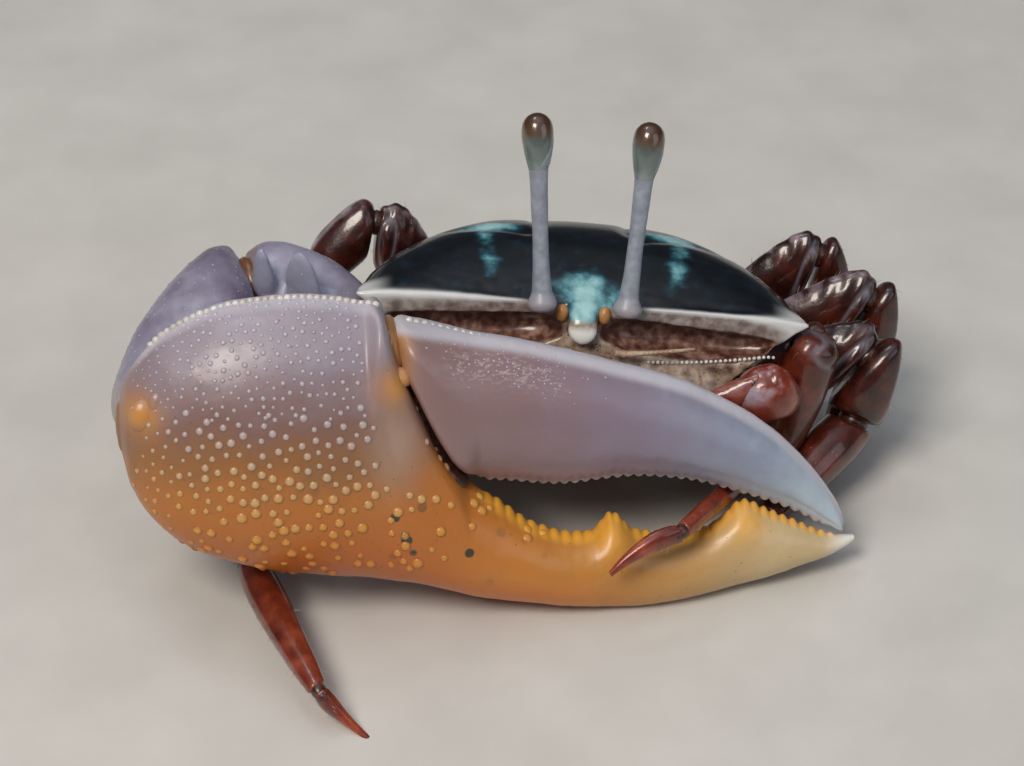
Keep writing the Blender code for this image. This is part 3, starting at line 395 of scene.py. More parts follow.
def pearl_tree():
    """Strews low domes over a shell, as many and as large as its own attributes say."""
    tree, add, given = new_tree(
        "pearls", Spacing="Float", Radius="Float", Rise="Float", Seed="Int", Where="String"
    )
    crowd = add("GeometryNodeInputNamedAttribute", {"Name": given["Where"]}, data_type="FLOAT")
    spots = add("GeometryNodeDistributePointsOnFaces", {
        "Mesh": given["Geometry"], "Distance Min": given["Spacing"], "Density Max": 9e6,
        "Density Factor": crowd, "Seed": given["Seed"],
    }, distribute_method="POISSON").outputs
    bulk = add("GeometryNodeInputNamedAttribute", {"Name": "bulk"}, data_type="FLOAT")
    chance = add("FunctionNodeRandomValue", {2: 0.65, 3: 1.15, "Seed": 3}, data_type="FLOAT").outputs[1]
    width = add("ShaderNodeMath", {0: bulk, 1: given["Radius"]}, operation="MULTIPLY")
    width = add("ShaderNodeMath", {0: width, 1: chance}, operation="MULTIPLY")
    rise = add("ShaderNodeMath", {0: width, 1: given["Rise"]}, operation="MULTIPLY")
    scale = add("ShaderNodeCombineXYZ", {0: width, 1: width, 2: rise})
    dome = add("GeometryNodeMeshUVSphere", {"Segments": 8, "Rings": 6, "Radius": 1.0})
    sunk = add("GeometryNodeTransform", {"Geometry": dome, "Translation": (0.0, 0.0, -0.4)})
    point = add("GeometryNodeInputPosition")
    height = add("ShaderNodeSeparateXYZ", {0: point}).outputs[2]
    height = add("ShaderNodeMapRange", {"Value": height, "From Min": 0.05, "From Max": 0.5})
    marked = add("GeometryNodeStoreNamedAttribute", {
        "Geometry": sunk, "Name": "pearl", "Value": height
    }, data_type="FLOAT", domain="POINT")
    placed = add("GeometryNodeInstanceOnPoints", {
        "Points": spots["Points"], "Instance": marked, "Rotation": spots["Rotation"], "Scale": scale
    })
    end_tree(add, given, placed, given["Geometry"])
    return tree


def seta_tree():
    """Grows bristles out of a skin, as densely as its attribute "hair" says."""
    tree, add, given = new_tree("bristles", Number="Float", Length="Float", Width="Float", Seed="Int")
    hair = add("GeometryNodeInputNamedAttribute", {"Name": "hair"}, data_type="FLOAT")
    way = add("GeometryNodeInputNamedAttribute", {"Name": "way"}, data_type="FLOAT_VECTOR")
    dense = add("ShaderNodeMath", {0: hair, 1: given["Number"]}, operation="MULTIPLY")
    spots = add("GeometryNodeDistributePointsOnFaces", {
        "Mesh": given["Geometry"], 4: dense, "Seed": given["Seed"]
    }, distribute_method="RANDOM").outputs
    bristle = add("GeometryNodeMeshCone", {
        "Vertices": 4, "Side Segments": 4, "Fill Segments": 1, "Radius Top": 0.05,
        "Radius Bottom": 1.0, "Depth": 1.0,
    })
    point = add("GeometryNodeInputPosition")
    height = add("ShaderNodeSeparateXYZ", {0: point}).outputs[2]
    bend = add("ShaderNodeMath", {0: height, 1: 2.0}, operation="POWER")
    bend = add("ShaderNodeMath", {0: bend, 1: 4.0}, operation="MULTIPLY")
    offset = add("ShaderNodeCombineXYZ", {0: bend})
    bent = add("GeometryNodeSetPosition", {"Geometry": bristle, "Offset": offset})
    stray = add("FunctionNodeRandomValue", {
        0: (-0.35, -0.35, -0.35), 1: (0.35, 0.35, 0.35), "Seed": 5
    }, data_type="FLOAT_VECTOR")
    lean = add("ShaderNodeVectorMath", {0: spots["Normal"], 1: way}, operation="ADD")
    lean = add("ShaderNodeVectorMath", {0: lean, 1: stray}, operation="ADD")
    turned = add("FunctionNodeAlignRotationToVector", {"Vector": lean}, axis="Z")
    chance = add("FunctionNodeRandomValue", {2: 0.5, 3: 1.2, "Seed": 9}, data_type="FLOAT").outputs[1]
    length = add("ShaderNodeMath", {0: chance, 1: given["Length"]}, operation="MULTIPLY")
    scale = add("ShaderNodeCombineXYZ", {0: given["Width"], 1: given["Width"], 2: length})
    end_tree(add, given, add("GeometryNodeInstanceOnPoints", {
        "Points": spots["Points"], "Instance": bent, "Rotation": turned, "Scale": scale
    }))
    return tree


def bead_tree():
    """Threads round beads on a line of points, each as large as its attribute "bulk" says."""
    tree, add, given = new_tree("bead_row", Pitch="Float")
    line = add("GeometryNodeMeshToCurve", {"Mesh": given["Geometry"]})
    even = add("GeometryNodeResampleCurve", {"Curve": line, "Length": given["Pitch"]}, mode="LENGTH")
    bulk = add("GeometryNodeInputNamedAttribute", {"Name": "bulk"}, data_type="FLOAT")
    chance = add("FunctionNodeRandomValue", {2: 0.85, 3: 1.1, "Seed": 2}, data_type="FLOAT").outputs[1]
    width = add("ShaderNodeMath", {0: bulk, 1: chance}, operation="MULTIPLY")
    bead = add("GeometryNodeMeshUVSphere", {"Segments": 10, "Rings": 6, "Radius": 1.0})
    end_tree(add, given, add("GeometryNodeInstanceOnPoints", {
        "Points": even, "Instance": bead, "Scale": width
    }))
    return tree


# Materials


def started(name, marks="", soft=None, coat=None, **values):
    """A new material with plain values on its shader, what adds nodes to it, and what it reads.

    That is the points and marks kept on its pieces, or the model's own coordinates without marks.
    soft is how much light passes into it, how many mm deep, and how its colours differ in that.
    coat is the weight and roughness of the gloss on it.
    """
    material = bpy.data.materials.new(name)
    material.use_nodes = True
    surface = material.node_tree.nodes["Principled BSDF"]
    if soft:
        soft = (soft[0], soft[1] * MM, *soft[2:])
        values.update(zip(("Subsurface_Weight", "Subsurface_Scale", "Subsurface_Radius"), soft))
    if coat:
        values.update(zip(("Coat_Weight", "Coat_Roughness"), coat))
    for label, value in values.items():
        surface.inputs[label.replace("_", " ")].default_value = value
    add = functools.partial(node, material.node_tree)
    if not marks:
        return material, add, add("ShaderNodeTexCoord").outputs["Object"]
    local = add("ShaderNodeAttribute", attribute_name="local").outputs["Vector"]
    read = [add("ShaderNodeAttribute", attribute_name=mark).outputs["Fac"] for mark in marks.split()]
    return material, add, local, *read


def clouded(add, local, scale, detail, *stops):
    """A cloud of lumps 1 / scale mm across, and the tones that it wanders through."""
    cloud = add("ShaderNodeTexNoise", {"Vector": local, "Scale": scale, "Detail": detail}).outputs[0]
    return cloud, add("ShaderNodeValToRGB", {0: cloud}, stops=stops)


def specks(add, local, scale, rim, core, strength):
    """A mask of small round specks, full inside the core."""
    away = add("ShaderNodeTexVoronoi", {"Vector": local, "Scale": scale})
    return add("ShaderNodeMapRange", {
        "Value": away, "From Min": rim, "From Max": core, "To Max": strength
    })


def stacked(add, colour, *layers):
    """Lays colours over a colour, each where its mask says."""
    for mask, over in layers:
        over = linear(over) if isinstance(over, str) else over
        colour = add("ShaderNodeMix", {0: mask, 6: colour, 7: over}, data_type="RGBA").outputs[2]
    return colour


def finished(material, local, colour, grain=None, bump=None, rough=None, polish=None):
    """Gives a material its colour, a relief of (strength, mm) and a roughness between two values.

    Relief and roughness follow a grain, which may be given as the scale of a fine noise.
    """
    add = functools.partial(node, material.node_tree)
    made = {"Base Color": colour}
    if isinstance(grain, float):
        grain = add("ShaderNodeTexNoise", {"Vector": local, "Scale": grain, "Detail": 6.0})
    if rough:
        made["Roughness"] = add("ShaderNodeMapRange", {
            "Value": polish or grain, "To Min": rough[0], "To Max": rough[1]
        }).outputs[0]
    if bump:
        made["Normal"] = add("ShaderNodeBump", {
            "Strength": bump[0], "Distance": bump[1] * MM, "Height": grain
        }).outputs[0]
    surface = material.node_tree.nodes["Principled BSDF"]
    for label, value in made.items():
        value = value.outputs[0] if isinstance(value, bpy.types.Node) else value
        material.node_tree.links.new(value, surface.inputs[label])
    return material


def claw_cuticle():
    """Thick calcified cuticle, satin like fingernail: mauve above, amber below, with a little
    light passing into it. The pearls on it are paler than the ground between them."""
    material, add, local, pearl, crest, patch, saw, pale, hinge = started(
        "calcified_claw_cuticle", "pearl crest spotted saw pale hinge",
        (0.15, 0.6, (1.0, 0.55, 0.3)), (0.35, 0.25),
    )
    axes = add("ShaderNodeSeparateXYZ", {0: local}).outputs
    cloud = add("ShaderNodeTexNoise", {"Vector": local, "Scale": 0.35, "Detail": 4.0})
    cloud = add("ShaderNodeMath", {0: cloud, 1: 0.5}, operation="SUBTRACT")
    cloud = add("ShaderNodeMath", {0: cloud, 1: 5.0}, operation="MULTIPLY")
    height = add("ShaderNodeMath", {0: axes[1], 1: cloud}, operation="ADD").outputs[0]
    share, far, under_fade, onward, low_only, underside, tip = (
        add("ShaderNodeMapRange", {
            "Value": value, "From Min": low, "From Max": high
        }, interpolation_type=kind)
        for value, low, high, kind in (
            (height, -15.0, 6.0, "LINEAR"), (axes[0], 0.0, 24.0, "LINEAR"),
            (axes[0], 16.0, -2.0, "LINEAR"), (axes[0], -3.0, 6.0, "SMOOTHSTEP"),
            (axes[1], -1.5, -6.0, "SMOOTHSTEP"), (axes[1], -12.6, -15.2, "SMOOTHSTEP"),
            (axes[0], 27.5, 29.8, "SMOOTHSTEP"),
        )
    )
    palm = add("ShaderNodeValToRGB", {0: share}, stops=(
        (0.0, "#b9521a"), (0.14, "#c0661f"), (0.38, "#bd742c"), (0.52, "#9a6a40"),
        (0.64, "#8a6a62"), (0.79, "#988993"), (1.0, "#ada3b0"),
    ))
    finger = add("ShaderNodeValToRGB", {0: far}, stops=(
        (0.0, "#c0702a"), (0.3, "#c98034"), (0.6, "#c58a42"), (0.8, "#c69a60"), (1.0, "#d3b98c"),
    ))
    pearl_tone = add("ShaderNodeValToRGB", {0: share}, stops=(
        (0.0, "#dd8230"), (0.3, "#e9ad4c"), (0.46, "#e3c492"), (0.6, "#d6c8c8"), (0.8, "#d5ccd8"),
    ))
    onward, underside, pearl, spots = (
        add("ShaderNodeMath", {0: one, 1: other}, operation="MULTIPLY", use_clamp=True)
        for one, other in (
            (onward, low_only), (underside, under_fade), (pearl, 0.65),
            (specks(add, local, 0.6, 0.24, 0.17, 1.8), patch),
        )
    )
    colour = stacked(
        add, palm, (onward, finger), (underside, "#d4661a"), (pale, "#b39a8c"), (saw, "#f6b440"),
        (hinge, "#cf9048"), (specks(add, local, 1.3, 0.1, 0.05, 0.7), "#7a4a2c"),
        (spots, "#3d3f2e"), (tip, "#f4f0e6"), (crest, "#d6d0dc"), (pearl, pearl_tone),
    )
    return finished(material, local, colour, 4.0, (0.25, 0.08), (0.3, 0.5))


def finger_cuticle():
    """The same thick cuticle on the movable finger: mauve grey, paler to blue at the tip,
    with white flecks in rows below its crest."""
    material, add, local, crest, saw, hinge, flecked, pearl = started(
        "calcified_finger_cuticle", "crest saw hinge flecked pearl",
        (0.15, 0.6, (1.0, 0.6, 0.45)), (0.35, 0.25),
    )
    axes = add("ShaderNodeSeparateXYZ", {0: local})
    cloud = add("ShaderNodeTexNoise", {"Vector": local, "Scale": 0.5, "Detail": 4.0})
    cloud = add("ShaderNodeMath", {0: cloud, 1: 6.0}, operation="MULTIPLY")
    along = add("ShaderNodeMath", {0: axes, 1: cloud}, operation="ADD")
    share = add("ShaderNodeMapRange", {"Value": along, "From Min": 1.0, "From Max": 32.0})
    tone = add("ShaderNodeValToRGB", {0: share}, stops=(
        (0.0, "#987a75"), (0.3, "#8f7579"), (0.55, "#8d7f92"), (0.8, "#929bb0"), (1.0, "#c3d4df"),
    ))
    stretched = add("ShaderNodeMapping", {
        "Vector": local, "Rotation": (0.0, 0.0, 0.3), "Scale": (2.4, 6.0, 1.5)
    })
    dash = add("ShaderNodeTexNoise", {"Vector": stretched, "Scale": 1.0, "Detail": 2.0})
    dash = add("ShaderNodeMapRange", {"Value": dash, "From Min": 0.53, "From Max": 0.6})
    flecks = add("ShaderNodeMath", {0: flecked, 1: dash}, operation="MULTIPLY")
    colour = stacked(
        add, tone, (hinge, "#c08a52"), (flecks, "#c0adb0"), (crest, "#cfccd6"), (saw, "#d3cdd4"),
        (pearl, "#d9ccd0"),
    )
    return finished(material, local, colour, 3.0, (0.2, 0.08), (0.28, 0.48))


def arm_cuticle():
    """Granulated lavender cuticle of the great claw's arm, browner towards the body."""
    material, add, local, brown, pale, sand, pearl, hinge = started(
        "granulated_arm_cuticle", "brown pale sand pearl hinge",
        (0.12, 0.6, (1.0, 0.6, 0.45)), (0.3, 0.3),
    )
    _, tone = clouded(add, local, 0.35, 5.0, (0.3, "#6f667c"), (0.5, "#8a8399"), (0.7, "#a7a5bb"))
    grain = add("ShaderNodeTexNoise", {"Vector": local, "Scale": 3.5, "Detail": 8.0})
    grain = add("ShaderNodeMapRange", {"Value": grain, "From Min": 0.45, "From Max": 0.6})
    sand = add("ShaderNodeMath", {0: sand, 1: grain}, operation="MULTIPLY")
    pearl = add("ShaderNodeMath", {0: pearl, 1: 0.7}, operation="MULTIPLY")
    colour = stacked(
        add, tone, (brown, "#6a605f"), (pale, "#a8abc2"), (hinge, "#94704c"), (pearl, "#bdb9cb"),
        (sand, "#b3a58f"),
    )
    return finished(material, local, colour, 5.0, (0.25, 0.08), (0.3, 0.5), polish=grain)


def back_cuticle():
    """Polished black cuticle of the back, wet bright, with teal clouds and a white rim."""
    material, add, local, teal, lip, brow, face, deep, white = started(
        "polished_back_cuticle", "teal lip brow face orbit white", None, (0.5, 0.1),
        Roughness=0.3, Specular_IOR_Level=0.4,
    )
    wisp, ground = clouded(
        add, local, 0.9, 6.0, (0.35, "#05080c"), (0.55, "#0b121a"), (0.75, "#12222e")
    )
    teal = add("ShaderNodeMath", {0: teal, 1: wisp}, operation="ADD")
    teal = add("ShaderNodeMapRange", {
        "Value": teal, "From Min": 0.55, "From Max": 1.4
    }, interpolation_type="SMOOTHSTEP")
    glow = add("ShaderNodeValToRGB", {0: teal}, stops=(
        (0.0, "#0d2633"), (0.3, "#2f7489"), (0.65, "#74bac6"), (1.0, "#a9d6da"),
    ))
    mottle, skin = clouded(
        add, local, 1.6, 7.0, (0.3, "#5b473b"), (0.45, "#8a7465"), (0.58, "#a99482"),
        (0.72, "#c2b2a0"),
    )
    # the orbit's flesh is darker than the face skin: partly its own colour, partly painted shade in the
    # deep orbit
    flesh, brow_skin = (
        add("ShaderNodeValToRGB", {0: mottle}, stops=stops)
        for stops in (
            ((0.32, "#3f2620"), (0.45, "#643f35"), (0.55, "#7d5a4d"), (0.68, "#a08174")),
            ((0.35, "#6f5f5b"), (0.5, "#8d807c"), (0.65, "#a79c98")),
        )
    )
    speck = add("ShaderNodeMath", {
        0: specks(add, local, 2.6, 0.22, 0.12, 0.8), 1: face
    }, operation="MULTIPLY")
    # deep is the orbit mask; its flesh carries painted shade as well as the orbit's own colour
    colour = stacked(
        add, ground, (teal, glow), (face, skin), (speck, "#3a2a20"), (deep, flesh),
        (brow, brow_skin), (lip, "#d9dada"), (white, "#f3f3ee"),
    )
    return finished(material, local, colour, 2.2, (0.12, 0.1))


def leg_cuticle():
    """Thin wet cuticle of the walking legs, dark oxblood, redder where light gets through. The pale lilac
    streaks along its ridges are partly granules and partly a painted highlight; the pale grey-lilac ring
    round each knee knob is partly a painted reflection of the sky on the glossy knob.
    """
    material, add, local, red, knee, pale = started(
        "oxblood_leg_cuticle", "red knee pale", (0.2, 0.8, (1.0, 0.25, 0.12)), (0.7, 0.1)
    )
    cloud, dark = clouded(
        add, local, 0.8, 6.0, (0.3, "#150705"), (0.5, "#2a0e09"), (0.72, "#4d1b11")
    )
    bright = add("ShaderNodeValToRGB", {0: cloud}, stops=(
        (0.3, "#6e2110"), (0.5, "#943a20"), (0.72, "#b65a3c"),
    ))
    edge = add("ShaderNodeMapRange", {"Value": cloud, "From Min": 0.45, "From Max": 0.62})
    # the pale ridge streaks, partly granules and partly a painted highlight, broken up by the cloud
    pale = add("ShaderNodeMath", {0: pale, 1: edge}, operation="MULTIPLY")
    # knee is the pale grey-lilac ring round each knee knob, partly a painted reflection of the sky on the
    # glossy knob
    colour = stacked(add, dark, (red, bright), (pale, "#a493a0"), (knee, "#7d7680"))
    return finished(material, local, colour, 6.0, (0.2, 0.08), (0.2, 0.42))


def belly_cuticle():
    """Thin limy cuticle of the underside, cream to tan, with darker sutures."""
    material, add, local, groove, red = started(
        "limy_belly_cuticle", "groove red", (0.2, 0.8), (0.25, 0.3)
    )
    _, tone = clouded(
        add, local, 0.7, 7.0, (0.3, "#7d614e"), (0.48, "#a98e76"), (0.62, "#c2ab94"),
        (0.78, "#d8c9b6"),
    )
    colour = stacked(
        add, tone, (specks(add, local, 2.2, 0.2, 0.1, 0.6), "#59412f"), (groove, "#5a4232"),
        (red, "#6b3323"),
    )
    return finished(material, local, colour, 5.0, (0.3, 0.1), (0.35, 0.6))


def stalk_skin():
    """Smooth grey-lilac skin of the eyestalks, chalky and only slightly moist."""
    material, add, local, foot = started(
        "chalky_stalk_skin", "foot", (0.15, 0.5), (0.3, 0.3)
    )
    cloud, tone = clouded(
        add, local, 1.8, 7.0, (0.3, "#868c9a"), (0.5, "#939aa7"), (0.7, "#a2a8b3")
    )
    colour = stacked(add, tone, (foot, "#a59fa8"))
    return finished(material, local, colour, cloud, (0.2, 0.06), (0.35, 0.55))


def eye_cornea():
    """Clear cornea over the eye's facets: grey-green, with a brown cap and a wet gloss."""
    material, add, local, along, front = started(
        "facetted_eye_cornea", "along front", None, (1.0, 0.05), Roughness=0.25
    )
    cloud = add("ShaderNodeTexNoise", {"Vector": local, "Scale": 1.6, "Detail": 4.0})
    cloud = add("ShaderNodeMapRange", {"Value": cloud, "To Min": -0.12, "To Max": 0.12})
    share = add("ShaderNodeMath", {0: along, 1: cloud}, operation="ADD")
    tone = add("ShaderNodeValToRGB", {0: share}, stops=(
        (0.0, "#8f95a2"), (0.16, "#7e8c8d"), (0.3, "#667672"), (0.55, "#5e6a68"),
        (0.72, "#5f4a3a"), (0.88, "#4c3123"),
    ))
    lobe = add("ShaderNodeMapRange", {"Value": front, "From Min": 0.3, "From Max": 0.9, "To Max": 0.5})
    low = add("ShaderNodeMapRange", {"Value": share, "From Min": 0.5, "From Max": 0.3})
    lobe = add("ShaderNodeMath", {0: lobe, 1: low}, operation="MULTIPLY")
    # The facets are 0.03 mm on the animal; here they are 0.08 mm, so that they show
    facet = add("ShaderNodeTexVoronoi", {"Vector": local, "Scale": 12.0})
    colour = stacked(add, tone, (lobe, "#7f9a94"))
    return finished(material, local, colour, facet, (0.15, 0.03))


def joint_membrane():
    """Soft uncalcified skin in the joints, amber brown and moist."""
    material, add, local, light = started(
        "soft_joint_membrane", "light", (0.3, 0.8, (1.0, 0.4, 0.2)), (0.5, 0.2)
    )
    cloud, tone = clouded(
        add, local, 2.5, 5.0, (0.3, "#1e0d08"), (0.5, "#3b1c11"), (0.7, "#633722")
    )
    colour = stacked(add, tone, (light, "#c98f55"))
    return finished(material, local, colour, cloud, (0.4, 0.1), (0.3, 0.5))


def plain_finish(name, scale, detail, stops, **values):
    """A finish whose tone only wanders a little."""
    material, add, local = started(name, **values)
    return finished(material, local, clouded(add, local, scale, detail, *stops)[1])


def bead_enamel():
    """White limy beads, dense and slightly polished."""
    return plain_finish(
        "white_limy_beads", 900.0, 4.0, ((0.35, "#c9c2bd"), (0.6, "#e9e6e2")),
        soft=(0.2, 0.3), coat=(0.3,), Roughness=0.35,
    )


def seta_horn():
    """Horny bristles, straw coloured to white, with a soft sheen."""
    return plain_finish(
        "straw_bristles", 1200.0, 2.0, ((0.35, "#7d6248"), (0.55, "#c7b294"), (0.7, "#ece3d2")),
        soft=(0.2, 0.2), Roughness=0.45,
    )


def studio_floor():
    """Smooth pale plaster board under the animal."""
    return plain_finish(
        "pale_plaster", 120.0, 5.0, ((0.3, "#cbc8c3"), (0.7, "#d6d3ce")), Roughness=0.8
    )


# Limb segments


def limb_rings(start, end, start_cut, end_cut, broad, profile, sides=48, steps=48, bow=0.0,
               end_gap=HALF_GAP, start_gap=HALF_GAP, edge=0.45, round_end=True):
    """Rings of one limb segment between the planes of its joints, with rounded rims.

    Also gives its marks: along, from 0 to 1, and upper and front, the cosine and sine round it.
    """
    axis = (end - start).normalized()
    length = (end - start).length
    broad = (broad - axis * broad.dot(axis)).normalized()
    across = axis.cross(broad)
    rings, along, upper, front = [], [], [], []
    for step in range(steps + 1):
        u = step / steps
        share = 0.62 * 0.5 * (1 - math.cos(math.pi * u)) + 0.38 * u
        above, below, thick, exponent = smooth_table(profile, share)
        squeeze = 1.0
        reach = min(edge, above, thick)
        ends = [share * length] + ([(1 - share) * length] if round_end else [])
        for left in ends:
            if left < reach:
                squeeze *= (1 - (1 - left / reach) ** 2.6) ** (1 / 2.6)
        cosine, sine = oval(sides, exponent)
        height = np.where(cosine > 0, above, below) * squeeze
        middle = bow * 4 * share * (1 - share)
        offset = (
            np.outer(height * cosine + middle, broad) + np.outer(thick * squeeze * sine, across)
        )
        first = (start_gap - offset @ np.array(start_cut)) / axis.dot(start_cut)
        last = length - (end_gap + offset @ np.array(end_cut)) / axis.dot(end_cut)
        rings.append(
            np.array(start) + offset + np.outer(first + (last - first) * share, axis)
        )
        along.append(np.full(sides, share))
        upper.append(cosine)
        front.append(sine)
    if not round_end:
        rings = rings + [rings[-1].mean(axis=0) + (rings[-1] - rings[-1].mean(axis=0)) * 0.5]
        rings.append(rings[-1])
        for marks in (along, upper, front):
            marks.extend([marks[-1], marks[-1]])
    return rings, dict(along=along, upper=upper, front=front)


def round_profile(*rows):
    """A segment's profile from (share of its length, radius) rows."""
    return tuple((share, radius, radius, radius, 2.0) for share, radius in rows)


def mitre(before, joint, after):
    """The way across the plane that halves the bend of a joint."""
    return ((joint - before).normalized() + (after - joint).normalized()).normalized()


def hip_plane(way, hip, knee):
    """The way across the plane between a limb's short first piece and its merus."""
    return (way + (knee - hip).normalized()).normalized()


def membrane(joint, way, radius, half_length, light=0.0):
    """A soft sleeve inside a joint."""
    way = way.normalized()
    side = way.orthogonal().normalized()
    cosine, sine = oval(24)
    offset = np.outer(cosine, side) + np.outer(sine, way.cross(side))
    rings = []
    for k in range(13):
        turn = math.pi * k / 12
        size = radius * math.sin(turn) ** 0.45 * (1 - 0.05 * math.cos(turn * 6))
        rings.append(np.array(joint - way * half_length * math.cos(turn)) + offset * size)
    return shell(rings, light=np.full((13, 24), light))


MERUS_PROFILE = (
    (0.0, 0.85, 0.85, 0.75, 2.0), (0.16, 1.3, 1.35, 0.9, 2.0), (0.42, 1.9, 1.75, 1.1, 2.0),
    (0.8, 1.7, 1.7, 1.15, 2.0), (1.0, 0.6, 1.3, 0.95, 2.0),
)
CARPUS_PROFILE = (
    (0.0, 0.6, 1.2, 0.95, 2.0), (0.25, 1.45, 1.3, 1.25, 2.0), (0.75, 1.5, 1.3, 1.35, 2.0),
    (1.0, 1.15, 1.15, 1.1, 2.0),
)
FOLDED_CARPUS_PROFILE = (
    (0.0, 0.9, 0.9, 0.75, 2.0), (0.12, 1.35, 1.4, 1.15, 2.0), (0.45, 1.5, 1.5, 1.3, 2.0),
    (1.0, 1.15, 1.15, 1.1, 2.0),
)
PROPODUS_PROFILE = (
    (0.0, 1.12, 1.12, 1.05, 2.0), (0.25, 1.3, 1.25, 1.15, 2.0), (0.75, 0.95, 0.95, 0.85, 2.0),
    (1.0, 0.68, 0.68, 0.6, 2.0),
)
SLENDER_PROPODUS = (
    (0.0, 1.12, 1.12, 1.05, 2.0), (0.2, 1.15, 1.1, 1.05, 2.0), (0.5, 0.78, 0.78, 0.75, 2.0),
    (1.0, 0.66, 0.66, 0.6, 2.0),
)
DACTYL_PROFILE = (
    (0.0, 0.64, 0.64, 0.52, 2.0), (0.25, 0.7, 0.7, 0.56, 2.0), (0.7, 0.45, 0.45, 0.38, 2.0),
    (1.0, 0.22, 0.22, 0.2, 2.0),
)
LEGS = {
    "left_1": ((15.2, 4.4, 12.0), (13.1, 0.4, 4.3), (6.2, -10.1, 6.5), (1.6, -12.4, 4.9)),
    "left_2": ((19.4, 4.4, 9.7), (18.8, 3.2, 5.0), (12.4, -3.6, 1.9), (7.4, -6.1, 0.0)),
    "left_3": ((20.0, 9.2, 10.95), (20.3, 8.7, 6.6), (17.2, 3.8, 1.8), (12.3, 1.6, 0.0)),
    "left_4": ((16.8, 13.2, 11.9), (18.0, 13.0, 8.1), (17.3, 11.6, 1.9), (15.0, 9.4, 0.0)),
    "right_1": ((-20.2, -3.4, 4.7), (-21.7, -9.2, 2.7), (-16.7, -20.5, 2.5), (-13.9, -21.9, 0.0)),
    "right_2": ((-18.9, 2.2, 8.6), (-23.6, 1.3, 6.4), (-25.4, -2.0, 1.9), (-20.8, -3.6, 0.0)),
    "right_3": ((-18.0, 8.0, 11.0), (-22.6, 7.6, 8.4), (-25.8, 5.6, 1.9), (-22.9, 2.3, 0.0)),
    "right_4": ((-14.2, 13.4, 14.5), (-18.0, 12.2, 11.6), (-22.3, 12.2, 5.2), (-22.5, 11.2, 0.0)),
}
HIPS = (
    ((8.9, 2.8, -7.5), (0.85, -0.45, -0.10)),
    ((9.5, 6.4, -7.5), (0.98, -0.12, -0.10)),
    ((9.3, 10.0, -7.3), (0.97, 0.15, -0.10)),
    ((8.2, 13.2, -6.9), (0.88, 0.42, -0.05)),
)
LEG_SIZES = (0.96, 1.05, 1.0, 0.9)
# How much fuller the flesh of the folded legs is than their solids, from merus to dactyl
FULLNESS = {
    "left_1": (1.15, 1.35, 1.0, 1.0),
    "left_2": (1.25, 1.45, 1.5, 1.1),
    "left_3": (1.3, 1.25, 1.2, 1.0),
    "left_4": (1.35, 1.2, 1.1, 1.0),
    "right_4": (1.35, 1.4, 1.1, 1.0),
}
EVEN_FULLNESS = (1.0, 1.0, 1.0, 1.0)
# A leg that is folded flat has its carpus beside the merus's end: where that carpus starts
FOLDED = {"left_1": (15.9, 2.15, 13.3)}
LEG_PARTS = (
    ("merus", MERUS_PROFILE, 72, 84, 0.15, 0.45, 0.5),
    ("carpus", CARPUS_PROFILE, 60, 48, 0.1, 0.4, 0.3),
    ("propodus", PROPODUS_PROFILE, 48, 56, 0.1, 0.35, 0.8),
    ("dactyl", DACTYL_PROFILE, 36, 44, 0.45, 0.25, 1.0),
)  # profile, sides, steps, bow, rounding of the rims, hairiness
# Raised and sunken lines along a segment: place round it, height and half width
RIDGES = {
    "carpus": ((-0.45, 0.09, 0.12), (0.45, 0.09, 0.12), (0, -0.06, 0.2)),
    "propodus": ((-0.5, 0.07, 0.14), (0.5, 0.07, 0.14)),
    "dactyl": ((-0.7, 0.06, 0.16), (0.0, 0.06, 0.16), (0.7, 0.06, 0.16)),
}
BRISTLES = dict(Number=2.2e6, Length=0.55 * MM, Width=0.018 * MM, Seed=3)
COXA_RADIUS = 1.15
COXA_ROOT = 4.2
MAJOR_HIP = ((-8.6, -0.7, -7.3), (-0.93, -0.35, 0.15))
MINOR_HIP = ((7.0, -0.5, -7.9), (0.9, -0.4, 0.1))
MAJOR_COXA_RADIUS = 1.6
MINOR_COXA_RADIUS = 1.05


def floor_point(point):
    """A point of the stance in the frame of the model."""
    return Vector(point) + FLOOR_SHIFT


def scaled(profile, size):
    """A segment's profile, thicker or thinner all along."""
    return tuple((s, a * size, b * size, t * size, e) for s, a, b, t, e in profile)


def hip_of(point, direction, side=1):
    """A hip and the way its limb leaves the body, mirrored for the crab's right side."""
    mirror = Vector((side, 1, 1))
    return BODY @ (Vector(point) * mirror), (BODY.to_3x3() @ (Vector(direction) * mirror)).normalized()


def leg_joints(name):
    """A leg's hip, knee, ankle, heel and tip, and the way that it leaves the body."""
    side, number = name.split("_")
    hip, way = hip_of(*HIPS[int(number) - 1], SIDES[side])
    return [hip] + [floor_point(p) for p in LEGS[name]], way


# How red each leg's segments are, from the merus to the dactyl
REDNESS = {
    "left_1": (0.15, 0.3, 0.75, 1.0),
    "right_1": (0.05, 0.1, 0.6, 1.0),
}
PLAIN_REDNESS = (0.05, 0.08, 0.3, 0.6)


def knee_distance(part, length, kept):
    """How far each point of a merus or carpus lies from the middle of its hinge knob, in mm."""
    at = 1 - 1.15 / length if part == "merus" else 0.9 / length
    return np.hypot((kept["along"] - at) * length, kept["upper"] * 1.25)


